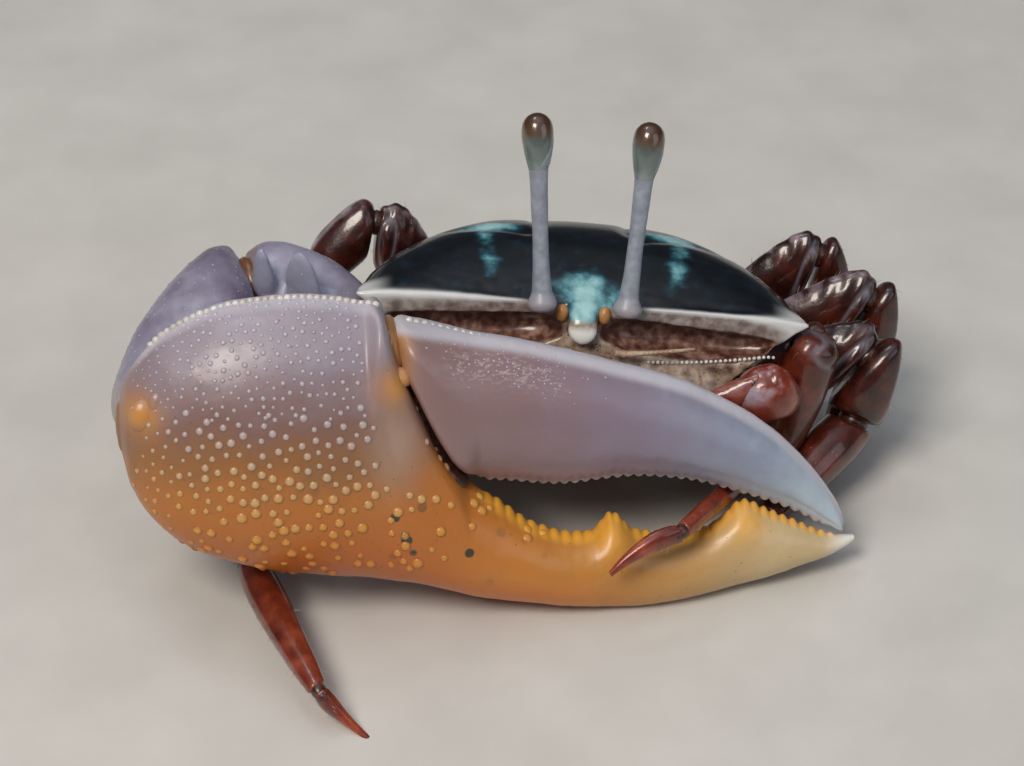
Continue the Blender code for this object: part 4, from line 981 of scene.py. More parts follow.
def leg_relief(part, seed, length, knobbed):
    """Ridges, pits and the knee's round hinge knob of a leg segment."""

    def relief(points, normals, marks):
        along, upper, front = marks["along"], marks["upper"], marks["front"]
        rise = 0.03 * soft_noise(points, 1.8, seed) + 0.008 * soft_noise(points, 0.5, seed + 1)
        if knobbed:
            away = knee_distance(part, length, marks)
            rise += 0.24 * hump(away, 0.5) - 0.12 * hump(away - 0.95, 0.16)
        if part == "merus":
            rise += 0.10 * hump(upper - 1.0, 0.05) * step_up(along, 0.1, 0.3)
            rise += 0.04 * np.sin(along * 60) * step_up(upper, 0.4, 0.9) * step_up(along, 0.5, 0.7)
        for line, height, width in RIDGES.get(part, ()):
            length_fade = 1 - along if part == "dactyl" else (upper > 0) * np.sin(np.pi * along)
            rise += height * hump(front - line, width) * length_fade
        return rise

    return relief


def leg_marks(part, redness, hairy, axis, length, knobbed):
    """Where a leg segment is red, pale along its ridge (partly a painted highlight), knobbed with a pale
    ring (partly a painted reflection) and hairy.
    """
    def marks(points, normals, kept):
        along, upper = kept["along"], kept["upper"]
        under = 0.25 * step_up(-upper, 0.2, 1.0) * (1 - redness)
        found = {"red": redness * (0.6 + 0.4 * step_up(along, 0.0, 0.8)) + under}
        if part in ("merus", "carpus"):
            # painted reflection, in part: a pale ring round the knee knob, where the glossy knob shows the
            # sky
            found["knee"] = 0.7 * hump(knee_distance(part, length, kept) - 0.9, 0.16) * knobbed
            # painted highlight, in part: pale lilac along the granulated upper ridge
            found["pale"] = 0.7 * hump(upper - 1.0, 0.06) * step_up(along, 0.15, 0.4)
        edge = step_up(np.abs(upper), 0.8, 0.97)
        if part == "dactyl":
            edge = step_up(np.abs(upper), 0.55, 0.85) * step_down(along, 0.6, 0.85)
        found["hair"] = np.clip(edge * hairy * step_up(along, 0.05, 0.2), 0, 1)
        found["way"] = np.tile(np.array(axis) * 0.9, (len(points), 1))
        return found

    return marks


def make_leg(name, leg_skin):
    """The four segments of a leg, and the soft sleeves in its joints."""
    (hip, knee, ankle, heel, tip), coxa_way = leg_joints(name)
    size = LEG_SIZES[int(name[-1]) - 1]
    outer = ((knee - hip).normalized() - (ankle - knee).normalized()).normalized()
    cuts = [
        hip_plane(coxa_way, hip, knee), mitre(hip, knee, ankle), mitre(knee, ankle, heel),
        mitre(ankle, heel, tip), Vector((0, 0, -1)) if tip.z < 0.01 else (tip - heel).normalized(),
    ]
    joints = hip, knee, ankle, heel, tip
    ends = [(joints[k], joints[k + 1], cuts[k], cuts[k + 1]) for k in range(4)]
    folds = list(zip(joints, cuts))[:4]
    if name in FOLDED:
        start = floor_point(FOLDED[name])
        wrist_cut = mitre(start, ankle, heel)
        ends[0] = (hip, knee, cuts[0], (knee - hip).normalized())
        ends[1] = (start, ankle, (ankle - start).normalized(), wrist_cut)
        ends[2] = (ankle, heel, wrist_cut, cuts[3])
        folds[1] = ((start + knee) / 2 - Vector((0, 0, 0.4)), knee - start)
    found = []
    for k, (part, profile, sides, steps, bow, edge, hairy) in enumerate(LEG_PARTS):
        if (name, part) == ("left_1", "propodus"):
            profile = SLENDER_PROPODUS
        if part == "carpus" and name in FOLDED:
            profile = FOLDED_CARPUS_PROFILE
        rings, marks = limb_rings(
            *ends[k], outer, scaled(profile, size * FULLNESS.get(name, EVEN_FULLNESS)[k]),
            sides, steps, bow, end_gap=0.0 if part == "dactyl" else HALF_GAP, edge=edge,
            round_end=part != "dactyl",
        )
        label = f"leg_{name}_{part}"
        span = ends[k][1] - ends[k][0]
        knobbed = part == ("carpus" if name in FOLDED else "merus")
        redness = REDNESS.get(name, PLAIN_REDNESS)[k]
        found.append(piece(
            f"{label}_cuticle", shell(rings, **marks), STANCE, leg_skin, [label], "leg_shell",
            relief=leg_relief(part, 10 + k, span.length, knobbed),
            marks=leg_marks(part, redness, hairy, span.normalized(), span.length, knobbed),
        ))
    return found, [
        membrane(*fold, radius * size, 0.75)
        for fold, radius in zip(folds, (0.72, 0.95, 1.0, 0.5))
    ]


# Carapace


CARAPACE_SECTIONS = (
    (-0.35, 15.0, 0.0, 0.35, 9.4, -5.3, 1.2), (0.6, 14.95, 0.0, 1.1, 9.8, -5.4, 1.3),
    (2.2, 14.6, -0.05, 2.2, 10.2, -5.4, 1.4), (4.5, 14.2, -0.15, 3.35, 10.5, -5.4, 1.4),
    (7.0, 13.4, -0.55, 3.8, 10.4, -5.4, 1.2), (9.5, 12.2, -1.1, 3.55, 10.0, -5.4, 1.0),
    (12.0, 10.8, -1.9, 2.6, 9.2, -5.3, 0.85), (14.5, 9.2, -2.9, 1.1, 8.1, -5.2, 0.8),
    (16.8, 7.9, -3.6, -0.9, 7.2, -5.0, 0.8), (18.15, 7.3, -3.9, -2.6, 6.7, -4.9, 0.8),
)
BACK_BEND = 3.1
BACK_FALL = 0.7
FACE_BULGE = 0.9
FACE_BULGE_TOP = -3.3
FACE_CENTRE = (0.0, -2.4)
ORBIT_SECTIONS = (
    (1.2, -1.35, 0.55, 0.2), (1.8, -1.4, 0.8, 0.9), (3.2, -1.55, 1.1, 1.7), (6.5, -1.8, 1.15, 1.8),
    (10.0, -1.9, 1.0, 1.5), (12.6, -1.8, 0.6, 0.9), (13.4, -1.7, 0.3, 0.1),
)
RIDGE_START, RIDGE_END, RIDGE_HEIGHT = 2.6, 12.4, -3.3
FACE_Y = -0.35
FRONT_PATH = (
    (3.0, 1.15, 2.4, 0.8), (1.2, 0.6, 1.7, 0.65), (-0.1, 0.1, 1.25, 0.55), (-0.9, -0.55, 0.95, 0.5),
    (-1.15, -1.25, 0.95, 0.48), (-1.15, -1.75, 0.75, 0.42), (-1.1, -2.0, 0.35, 0.28),
)


def face_forward(x, z):
    """How far the lower face bulges forwards at points of it."""
    depth = np.clip((FACE_BULGE_TOP - z) / 1.4, 0.0, 1.0)
    fade = np.clip((11.0 - np.abs(x)) / 3.0, 0.0, 1.0)
    return FACE_BULGE * depth * fade


def orbit_depth(x, z):
    """How far the orbit goes into the face at points of it."""
    reach = np.array([smooth_table(ORBIT_SECTIONS, abs(float(v))) for v in x])
    middle, half, deep = reach.T
    inside = np.clip(1 - np.abs((z - middle) / half) ** 2.6, 0.0, 1.0) ** (1 / 2.4)
    width = (np.abs(x) > 1.2) & (np.abs(x) < 13.4)
    return deep * inside * width


def carapace_rings(back_points=64, side_points=26, bottom_points=18):
    """Rings of the carapace from the middle of its face over its back to its tail."""
    u = np.arange(back_points) / back_points
    s = 0.62 * 0.5 * (1 - np.cos(np.pi * u)) + 0.38 * u
    t = np.arange(side_points + 1) / side_points
    b = np.arange(1, bottom_points + 1) / bottom_points
    rings = []
    first, last = CARAPACE_SECTIONS[0][0], CARAPACE_SECTIONS[-1][0]
    stations = first + (last - first) * (np.linspace(0, 1, 110) ** 1.15)
    for y in stations:
        half, margin, crown, lower, floor, overhang = smooth_table(CARAPACE_SECTIONS, float(y))
        back = np.stack([half * s, margin + (crown - margin) * (1 - s**BACK_BEND) ** BACK_FALL], 1)
        side = np.stack([
            lower + (half - lower) * (1 - t) ** overhang, margin + (floor - margin) * t
        ], 1)
        bottom = np.stack([lower * (1 - b), np.full(len(b), floor)], 1)
        right = np.vstack([back, side, bottom])
        left = right[1:-1][::-1] * np.array([-1, 1])
        outline = np.vstack([right, left])
        forward = max(0.0, 1.0 - (y - first) / 2.0)
        depth = y - face_forward(outline[:, 0], outline[:, 1]) * forward
        rings.append(np.stack([outline[:, 0], depth, outline[:, 1]], 1))
    edge = rings[0]
    face = []
    for scale in 1 - (np.arange(1, 76) / 75.0):
        x = FACE_CENTRE[0] + (edge[:, 0] - FACE_CENTRE[0]) * scale
        z = FACE_CENTRE[1] + (edge[:, 2] - FACE_CENTRE[1]) * scale
        y = FACE_Y - face_forward(x, z) + orbit_depth(x, z)
        y -= 0.10 * hump(z - ridge_height(x), 0.3) * (np.abs(x) > 2.0)
        face.append(np.stack([x, y, z], 1))
    tail = []
    rim = rings[-1]
    middle = rim.mean(axis=0)
    for k in range(1, 13):
        turn = math.pi / 2 * k / 12
        tail.append(middle + (rim - middle) * math.cos(turn) + np.array([0, 0.35, 0]) * math.sin(turn))
    return face[::-1] + rings + tail


def ridge_height(x):
    """The height of the beaded ridge under the orbit."""
    share = np.clip((np.abs(x) - RIDGE_START) / (RIDGE_END - RIDGE_START), 0.0, 1.0)
    return RIDGE_HEIGHT + 0.9 * share**2


def path_rings(path, sides, exponent, steps=1):
    """Rings of a strap whose middle follows (y, z) and whose width lies along X."""
    if steps > 1:
        table = numbered(path)
        path = [
            smooth_table(table, (len(path) - 1) * k / (steps * (len(path) - 1)))
            for k in range(steps * (len(path) - 1) + 1)
        ]
    rings = []
    cosine, sine = oval(sides, exponent)
    for k, (y, z, half, thick) in enumerate(path):
        before = Vector(path[max(k - 1, 0)][:2])
        after = Vector(path[min(k + 1, len(path) - 1)][:2])
        along = (after - before).normalized()
        normal = np.array([0, -along.y, along.x])
        rings.append(
            np.array([0, y, z]) + np.outer(half * cosine, [1, 0, 0]) + np.outer(thick * sine, normal)
        )
    return rings


def carapace_relief(points, normals, marks):
    """Regions of the back, as low swellings and furrows, and its raised rim."""
    x, y, _ = points.T
    top = step_up(normals[:, 2], 0.1, 0.5) * step_up(y, 0.4, 1.5)
    ax = np.abs(x)
    rise = -0.16 * hump(ax - (3.0 + 0.12 * (y - 8) ** 2), 0.45) * step_up(y, 4.5, 7.0)
    rise *= step_down(y, 12.0, 14.0)
    rise -= 0.14 * hump(y - (11.0 - 0.03 * x**2), 0.5) * step_down(ax, 3.0, 4.5)
    across = 0.12 * hump(y - (4.6 + 0.25 * ax), 0.45) * step_up(ax, 2.5, 4.0)
    rise -= across * step_down(ax, 9.0, 11.0)
    rise += 0.05 * soft_noise(points, 3.0, 4)
    rise = rise * top
    _, rim = rim_of(points)
    rise += 0.12 * rim * step_up(ax, 3.0, 8.0)
    rise += 0.03 * soft_noise(points, 0.7, 6) * (1 - top)
    return rise


def rim_of(points):
    """How far each point lies from the front rim, in mm, and a bell along it."""
    x, y, z = points.T
    side = np.clip(np.abs(x) / 15.0, 0, 1)
    edge = 0.35 * (1 - side**BACK_BEND) ** BACK_FALL
    away = np.hypot(y - FACE_Y, z - edge)
    out = np.abs(x) > 1.5
    return away, hump(away, 0.33) * out


def carapace_marks(points, normals, marks):
    """Where the carapace is face, orbit (whose darker flesh is partly painted shade), brow, white lip or
    teal.
    """
    x, y, z = points.T
    away, _ = rim_of(points)
    ax = np.abs(x)
    found = {}
    front = step_down(y, 0.2, 0.9)
    found["face"] = np.clip(front * step_up(-z, 0.3, 0.8) + step_up(-normals[:, 2], -0.1, 0.4), 0, 1)
    middle = np.array([smooth_table(ORBIT_SECTIONS, float(v)) for v in ax])
    inside = np.clip(1 - np.abs((z - middle[:, 0]) / (middle[:, 1] + 0.25)) ** 3, 0, 1)
    within = step_up(ax, 1.2, 1.5) * step_down(ax, 12.5, 12.9)
    # the orbit's darker flesh, partly its own colour and partly painted shade in the recess
    found["orbit"] = np.clip(inside * within * 2.5, 0, 1) * step_up(y, -0.3, 0.1) * step_down(y, 2.6, 3.2)
    brow_low = middle[:, 0] + middle[:, 1]
    found["brow"] = front * step_up(z, brow_low - 0.15, brow_low + 0.1) * step_up(ax, 1.3, 2.0)
    found["brow"] *= step_down(normals[:, 2], 0.25, 0.5)
    corner = step_up(ax, 12.5, 14.6) * step_down(y, 0.9, 2.0) * step_up(z, -1.5, -0.9)
    width = np.where(x < 0, 0.1 + 0.2 * step_up(ax, 5.0, 12.0), 0.09 + 0.28 * step_up(ax, 10.0, 13.5))
    line = hump(away, width) * step_up(ax, 3.0, 5.0)
    found["lip"] = np.clip(line * 1.3 + corner, 0, 1)
    lobe = step_down(ax, 0.9, 1.4)
    found["white"] = np.clip(lobe * step_up(-z, 0.7, 1.3) * step_down(y, -0.9, -0.4), 0, 1)
    teal = 0.85 * hump(np.hypot(x * 0.6, y - 0.5), 1.2)
    teal = np.maximum(teal, 0.85 * hump(ax, 1.1) * front)
    for side in (-1, 1):
        reach = x * side
        teal = np.maximum(teal, 0.95 * hump(np.hypot((reach - 6.3) * 0.42, (y - 6.7) * 1.0), 0.75))
        streak = hump(reach - 6.4 - 0.1 * (y - 3.5), 0.65) * step_up(y, 0.2, 2.0) * step_down(y, 6.0, 7.5)
        teal = np.maximum(teal, 0.5 * streak)
        teal = np.maximum(teal, 0.55 * hump(np.hypot((reach - 3.4) * 0.7, y - 7.6), 0.5))
        teal = np.maximum(teal, 0.5 * hump(np.hypot((reach - 3.2) * 0.5, y - 12.5), 0.8))
    found["teal"] = teal * step_up(normals[:, 2] + 0.9 * lobe, -0.2, 0.2)
    return found


# Thorax, abdomen and mouthparts


THORAX_SECTIONS = (
    (-0.6, 6.4, 4.2, -5.65, -8.3), (1.0, 7.3, 5.2, -5.75, -9.0), (4.0, 7.7, 5.8, -5.75, -9.2),
    (8.0, 7.8, 6.0, -5.75, -9.2), (12.0, 7.2, 5.4, -5.65, -8.9), (15.0, 6.4, 4.7, -5.5, -8.2),
    (17.3, 5.6, 3.9, -5.3, -6.9),
)
THORAX_FURROW = 0.22
THORAX_SUTURES = (1.2, 3.2, 5.6, 8.2, 10.8, 13.4)
ABDOMEN_WIDTHS = (
    (18.3, 2.9), (17.2, 3.0), (15.6, 2.9), (13.6, 2.5), (11.6, 2.2), (9.6, 1.95),
    (7.6, 1.7), (5.8, 1.35), (4.6, 0.7),
)
ABDOMEN_THICKNESS = 0.8
ABDOMEN_BASE_HEIGHT = -5.65
GAP = 0.3


def thorax_bottom(y):
    """The height of the breastplate."""
    return smooth_table(THORAX_SECTIONS, y)[3]


def along_outline(corners, count):
    """Even points along a closed outline, softened at its corners."""
    corners = np.asarray(corners, dtype=float)
    loop = np.vstack([corners, corners[:1]])
    lengths = np.concatenate([[0], np.cumsum(np.linalg.norm(np.diff(loop, axis=0), axis=1))])
    at = np.linspace(0, lengths[-1], count, endpoint=False)
    points = np.stack([np.interp(at, lengths, loop[:, k]) for k in range(loop.shape[1])], 1)
    for _ in range(4):
        points = (np.roll(points, 1, 0) + 2 * points + np.roll(points, -1, 0)) / 4
    return points


def thorax_shell():
    """The trunk under the carapace, with a furrow along the middle of the breastplate."""
    rings = []
    for y in np.linspace(THORAX_SECTIONS[0][0], THORAX_SECTIONS[-1][0], 100):
        top_half, low_half, top, bottom = smooth_table(THORAX_SECTIONS, float(y))
        right = [
            (0.0, top), (top_half * 0.5, top), (top_half, top),
            (top_half - 0.1, top * 0.62 + bottom * 0.38),
            (low_half + 0.9, top * 0.25 + bottom * 0.75),
            (low_half, bottom), (low_half * 0.5, bottom), (0.0, bottom + THORAX_FURROW),
        ]
        left = [(-x, z) for x, z in reversed(right[1:-1])]
        outline = along_outline(right + left, 140)
        rings.append(np.stack([outline[:, 0], np.full(140, y), outline[:, 1]], 1))
    return shell(rounded_ends(rings, 0.25, 0.25))


def suture_of(points):
    """A bell along each suture of the breastplate, which bends forwards at its sides."""
    x, y, _ = points.T
    found = np.zeros(len(points))
    for suture in THORAX_SUTURES:
        found = np.maximum(found, hump(y - suture + 0.10 * np.abs(x), 0.13))
    return found * step_up(np.abs(x), 0.4, 1.2)


def coxa_shells():
    """The short first pieces of all limbs, in the body's frame."""
    rows = []
    for name in LEGS:
        joints, way = leg_joints(name)
        rows.append((joints[0], way, joints[1], COXA_RADIUS * LEG_SIZES[int(name[-1]) - 1]))
    for point, radius, elbow in (
        (MAJOR_HIP, MAJOR_COXA_RADIUS, MAJOR_ARM[0]), (MINOR_HIP, MINOR_COXA_RADIUS, MINOR_ARM[0]),
    ):
        rows.append((*hip_of(*point), floor_point(elbow), radius))
    found = []
    inverse = BODY.inverted()
    for hip, way, knee, radius in rows:
        cut = hip_plane(way, hip, knee)
        profile = (
            (0.0, radius * 0.9, radius * 0.9, radius * 0.9, 2.0),
            (0.6, radius * 1.1, radius * 1.1, radius * 1.1, 2.0),
            (1.0, radius * 0.92, radius * 0.92, radius * 0.85, 2.0),
        )
        rings, _ = limb_rings(hip - way * COXA_ROOT, hip, way, cut, Vector((0, 0, 1)), profile, 40, 36)
        found.append(shell([carried(ring, inverse) for ring in rings]))
    return found


def abdomen_path():
    """The middle line of the folded tail, which follows the breastplate."""
    path = []
    lift = GAP + ABDOMEN_THICKNESS / 2 + 0.05
    for y, half in ABDOMEN_WIDTHS:
        if y > 17.8:
            path.append((y, ABDOMEN_BASE_HEIGHT, half, ABDOMEN_THICKNESS / 2))
            continue
        slope = (thorax_bottom(y + 0.3) - thorax_bottom(y - 0.3)) / 0.6
        path.append((y + lift * slope * 0.6, thorax_bottom(y) - lift, half, ABDOMEN_THICKNESS / 2))
    path.insert(1, (18.45, -6.6, 2.95, ABDOMEN_THICKNESS / 2))
    return path


MOUTH_OUTLINE = (
    (0.15, -4.3), (1.6, -4.0), (3.1, -4.35), (4.0, -5.3), (4.05, -6.6), (3.7, -7.9),
    (2.7, -8.9), (1.0, -9.2), (0.15, -8.9), (0.15, -6.6),
)
MOUTH_FRONT = -2.6


def mouth_shell(side):
    """One outer mouthpart, a plate that bulges forwards a little."""
    outline = along_outline(MOUTH_OUTLINE, 110)
    centre = np.array([1.9, -6.6])
    rings = []
    for scale, y in (
        (0.6, 0.78), (0.97, 0.75), (1.0, 0.6), (1.0, 0.3), (0.985, 0.18), (0.95, 0.08), (0.9, 0.03),
        (0.84, 0.0), (0.76, -0.03), (0.68, -0.06), (0.6, -0.08), (0.52, -0.1), (0.44, -0.11),
        (0.36, -0.12), (0.28, -0.12), (0.2, -0.12), (0.1, -0.12),
    ):
        at = centre + (outline - centre) * scale
        lean = 0.10 * (at[:, 1] - centre[1]) - 0.015 * (at[:, 1] - centre[1]) ** 2
        depth = MOUTH_FRONT + y + 0.012 * at[:, 0] ** 2 - lean * 0.3
        rings.append(np.stack([side * at[:, 0], depth, at[:, 1]], 1))
    return shell(rounded_ends(rings, 0.0, 0.01, 3))


# Eyes and antennae


EYE_FEET = {"right": Vector((-2.75, -1.5, -0.15)), "left": Vector((2.75, -1.5, -0.15))}
EYE_TOPS = {"right": (-3.1, 6.0, 28.1), "left": (4.25, 5.8, 27.5)}
STALK_PROFILE = round_profile(
    (0.0, 0.72), (0.06, 0.92), (0.15, 0.64), (0.5, 0.5), (0.85, 0.56), (1.0, 0.62)
)
EYE_PROFILE = round_profile(
    (0.0, 0.64), (0.3, 0.9), (0.6, 1.04), (0.82, 0.94), (0.94, 0.62), (1.0, 0.22)
)
EYE_LENGTH = 3.7
SKIN_CLIMB = 2.4
ANTENNA_PATH = (
    (2.35, -1.15, -2.55, 0.42), (3.1, -1.35, -2.5, 0.4), (4.1, -1.5, -2.35, 0.3),
    (5.6, -1.6, -2.1, 0.25), (7.4, -1.55, -1.8, 0.16),
)


def make_eye(name, skin, cornea):
    """An eye on its stalk. The stalk's skin climbs one side of the eye and ends obliquely."""
    foot = BODY @ EYE_FEET[name]
    top = floor_point(EYE_TOPS[name])
    way = (top - foot).normalized()
    neck = top - way * EYE_LENGTH
    side = Vector((1, 0, 0))
    reach = (neck - foot).length
    total = reach + SKIN_CLIMB
    profile = [(row[0] * reach / total, *row[1:]) for row in STALK_PROFILE]
    for share in (0.15, 0.3, 0.45, SKIN_CLIMB / EYE_LENGTH):
        profile.append(((reach + share * EYE_LENGTH) / total, *smooth_table(EYE_PROFILE, share)))
    rings, marks = limb_rings(
        foot, neck + way * SKIN_CLIMB, way, way, side, profile, 56, 150, edge=0.3, end_gap=0.0
    )

    def stalk_relief(points, normals, kept):
        height = kept["along"] * total - reach
        cover = 0.1 + 2.0 * step_up(kept["upper"] * 0.8 + kept["front"] * 0.6, -0.9, 0.9)
        rise = 0.02 - 0.14 * step_up(height - cover, -0.1, 0.1)
        return rise + 0.02 * soft_noise(points, 1.4, 21)

    def stalk_marks(points, normals, kept):
        return {"foot": step_down(kept["along"], 0.03, 0.14)}

    piece(
        f"eyestalk_{name}_skin", shell(rings, **marks), STANCE, skin, [f"eyestalk_{name}"],
        "stalk_shell", relief=stalk_relief, marks=stalk_marks,
    )
    root = 0.4
    profile = [(0.0, 0.5, 0.5, 0.5, 2.0)]
    for row in EYE_PROFILE:
        profile.append(((root + row[0] * EYE_LENGTH) / (root + EYE_LENGTH), *row[1:]))
    rings, marks = limb_rings(
        neck - way * root, top, way, way, side, profile, 56, 72, end_gap=0.0, start_gap=0.0,
        edge=0.12,
    )

    def eye_relief(points, normals, kept):
        return -0.04 * kept["front"] * hump(kept["along"] - 0.5, 0.2)

    piece(
        f"eye_{name}_cornea", shell(rings, **marks), STANCE, cornea, [f"eye_{name}"], "cornea",
        relief=eye_relief,
    )


def antenna_shell(side):
    """A jointed antenna that tapers to a whip along the floor of the orbit."""
    table = numbered(ANTENNA_PATH)
    rings = []
    cosine, sine = oval(16)
    last = len(ANTENNA_PATH) - 1
    for k in range(73):
        at = last * k / 72
        x, y, z, radius = smooth_table(table, at)
        radius *= 0.6 + 0.06 * math.cos(at * 2 * math.pi * (1.5 if at < 2 else 5.0))
        rings.append(np.stack([
            np.full(16, side * x), y + radius * cosine, z + radius * sine
        ], 1))
    return shell(rounded_ends(rings, 0.15, 0.1, 4))


# The great claw and its arm


MAJOR_ARM = ((-22.2, 3.9, 15.9), (-26.2, -3.8, 12.4))
MAJOR_MERUS_PROFILE = (
    (0.0, 1.4, 1.4, 1.4, 2.0), (0.2, 1.7, 2.0, 1.8, 2.0), (0.38, 2.5, 2.1, 2.2, 2.0),
    (0.6, 2.9, 2.3, 2.4, 2.1), (0.85, 2.5, 2.6, 2.5, 2.1), (1.0, 1.5, 2.6, 2.3, 2.2),
)
MERUS_UP = Vector((0.05, 0.72, 0.69))
MERUS_BOW = 1.5
MAJOR_CARPUS_PROFILE = (
    (0.0, 1.5, 2.7, 2.4, 2.2), (0.2, 3.3, 3.5, 3.4, 2.2), (0.6, 4.4, 4.3, 4.2, 2.2),
    (0.85, 3.9, 4.4, 3.7, 2.1), (1.0, 2.6, 3.0, 2.5, 2.0),
)
CARPUS_UP = Vector((0.1, 0.35, 1))
MERUS_TEETH = ((0.9, 4.1, 0.95), (0.69, 6.0, 1.6))
TOOTH_ROOT = Vector((0, -1.0, 0.9))
HINGE_KNOBS = (
    ((-0.5, 0.75, 2.7), (1.2, 0.75, 0.8)), ((-16.1, -1.3, 2.4), (0.95, 1.15, 0.6)),
    ((-15.2, -0.4, 2.75), (0.6, 0.75, 0.42)),
)
SEAM_PATH = ((-0.85, 4.0), (-0.45, 2.2), (0.0, 0.2), (0.95, -2.2), (2.0, -4.5), (3.1, -6.2), (4.2, -7.2))
PALM_SECTIONS = (
    (-17.75, -1.2, -4.4, 0.6, 0.5, 2.0), (-17.2, 0.6, -6.7, 1.8, 1.5, 2.1),
    (-15.6, 2.7, -9.1, 3.2, 2.6, 2.2), (-13.6, 4.1, -10.7, 4.1, 3.3, 2.2),
    (-11.0, 5.1, -11.8, 4.7, 3.8, 2.2), (-8.0, 5.5, -12.5, 5.0, 4.0, 2.2),
    (-5.0, 5.5, -12.9, 4.9, 4.0, 2.2), (-2.6, 5.1, -13.2, 4.5, 3.8, 2.2),
    (-1.15, 4.6, -13.4, 4.2, 3.6, 2.3), (-0.35, 1.9, -13.5, 4.1, 3.5, 2.4),
    (0.75, -0.9, -13.6, 3.9, 3.4, 2.5), (1.95, -3.7, -13.9, 3.6, 3.2, 2.4),
    (3.1, -5.7, -14.3, 3.3, 3.0, 2.2), (4.6, -7.25, -14.8, 3.0, 2.7, 2.1),
    (6.4, -8.7, -15.2, 2.7, 2.5, 2.0), (8.3, -10.1, -15.5, 2.5, 2.3, 2.0),
    (10.4, -10.9, -15.8, 2.3, 2.2, 2.0), (12.4, -10.9, -15.95, 2.25, 2.1, 2.0),
    (13.7, -9.8, -16.05, 2.2, 2.1, 1.9), (15.2, -10.9, -16.05, 2.2, 2.0, 2.0),
    (17.6, -11.5, -15.95, 2.1, 1.9, 2.0), (19.6, -11.3, -15.6, 2.0, 1.8, 2.0),
    (21.2, -10.3, -15.3, 1.9, 1.7, 1.9), (22.4, -9.4, -15.05, 1.8, 1.6, 1.8),
    (23.8, -9.95, -14.7, 1.65, 1.5, 1.8), (26.0, -11.0, -14.15, 1.35, 1.25, 1.9),
    (28.2, -12.0, -13.45, 0.9, 0.85, 2.0), (29.6, -12.1, -12.8, 0.5, 0.5, 2.0),
    (30.15, -12.15, -12.45, 0.25, 0.25, 2.0),
)
FINGER_SECTIONS = (
    (-0.55, 3.6, 2.9, 1.2, 1.0, 2.0), (0.0, 3.95, 1.2, 2.9, 2.4, 2.1), (0.8, 3.8, -0.45, 3.6, 3.0, 2.3),
    (2.05, 3.45, -3.2, 3.6, 3.1, 2.3), (3.3, 3.15, -5.3, 3.4, 3.0, 2.2),
    (4.9, 2.75, -6.55, 3.2, 2.8, 2.0), (7.7, 2.2, -6.9, 3.0, 2.6, 1.9),
    (10.3, 1.5, -7.2, 2.8, 2.5, 1.9), (14.2, 0.4, -6.9, 2.55, 2.3, 1.9),
    (16.8, -0.4, -7.05, 2.35, 2.1, 1.9), (19.5, -1.5, -7.55, 2.15, 1.9, 1.9),
    (23.3, -3.7, -8.8, 1.75, 1.55, 1.9), (26.0, -6.1, -9.95, 1.35, 1.2, 1.9),
    (28.1, -8.65, -11.15, 0.9, 0.85, 2.0), (29.2, -10.7, -11.8, 0.5, 0.5, 2.0),
    (29.3, -11.5, -11.9, 0.22, 0.22, 2.0),
)


def claw_rings(sections, stations, sides, upper_teeth=None, lower_teeth=None, flush=None):
    """Rings across the claw, from its upper edge round its outer side, with their marks.

    flush gives the exponents of the upper and lower half where the face meets the next part.
    """
    rings, along, upper, front = [], [], [], []
    for at in stations:
        at = float(at)
        top, bottom, outer, inner, exponent = smooth_table(sections, at)
        middle, half = (top + bottom) / 2, (top - bottom) / 2
        cosine, sine = oval(sides, exponent)
        if flush:
            above, below = (oval(sides, max(exponent, keen)) for keen in flush(at))
            cosine, sine = np.where(cosine > 0, above, below)
        height = middle + half * cosine
        if upper_teeth:
            height += upper_teeth(at) * np.clip(cosine, 0, 1) ** 12
        if lower_teeth:
            height -= lower_teeth(at) * np.clip(-cosine, 0, 1) ** 12
        thick = np.where(sine > 0, outer, inner)
        curl = -FINGER_CURL * max(at, 0.0) ** 2
        rings.append(np.stack([
            np.full(sides, at), height, curl + thick * sine
        ], 1))
        along.append(np.full(sides, at))
        upper.append(cosine)
        front.append(sine)
    return rings, dict(along=along, upper=upper, front=front)


def row_of_teeth(at, start, end, pitch, height, keen=1.0):
    """The rise of a row of teeth at a place along it, fading in and out at its ends."""
    if not start < at < end:
        return 0.0
    fade = min(1.0, (at - start) / pitch, (end - at) / pitch)
    return height * fade * abs(math.sin(math.pi * (at - start) / pitch)) ** keen


def palm_teeth(at):
    """Small blunt teeth along the fixed finger, on which the two great ones stand."""
    fine = row_of_teeth(at, 5.2, 12.6, 0.74, 0.3) + row_of_teeth(at, 12.6, 15.0, 0.6, 0.28)
    return fine + row_of_teeth(at, 15.0, 21.0, 0.75, 0.28) + row_of_teeth(at, 21.0, 29.0, 0.66, 0.3)


def palm_flush(at):
    """The palm's upper half is square where the finger's hinge lies against it."""
    return 2.0 + 4.0 * float(step_up(at, -2.2, -1.2) * step_down(at, 2.6, 4.4)), 2.0


def finger_flush(at):
    """The finger's lower half is square along the seam."""
    return 2.0, 2.0 + 4.0 * float(step_down(at, 3.0, 5.0))


def finger_teeth(at):
    """Even blunt teeth along the lower edge of the movable finger."""
    return row_of_teeth(at, 4.6, 28.4, 0.7, 0.28, 0.8)


def on_floor(points):
    """Lifts what lies under the floor to it, in the claw's frame."""
    turn, shift = np.array(CLAW.to_3x3()), np.array(CLAW.translation)
    world = points @ turn.T + shift
    world[:, 2] = np.maximum(world[:, 2], 0.0)
    return (world - shift) @ turn


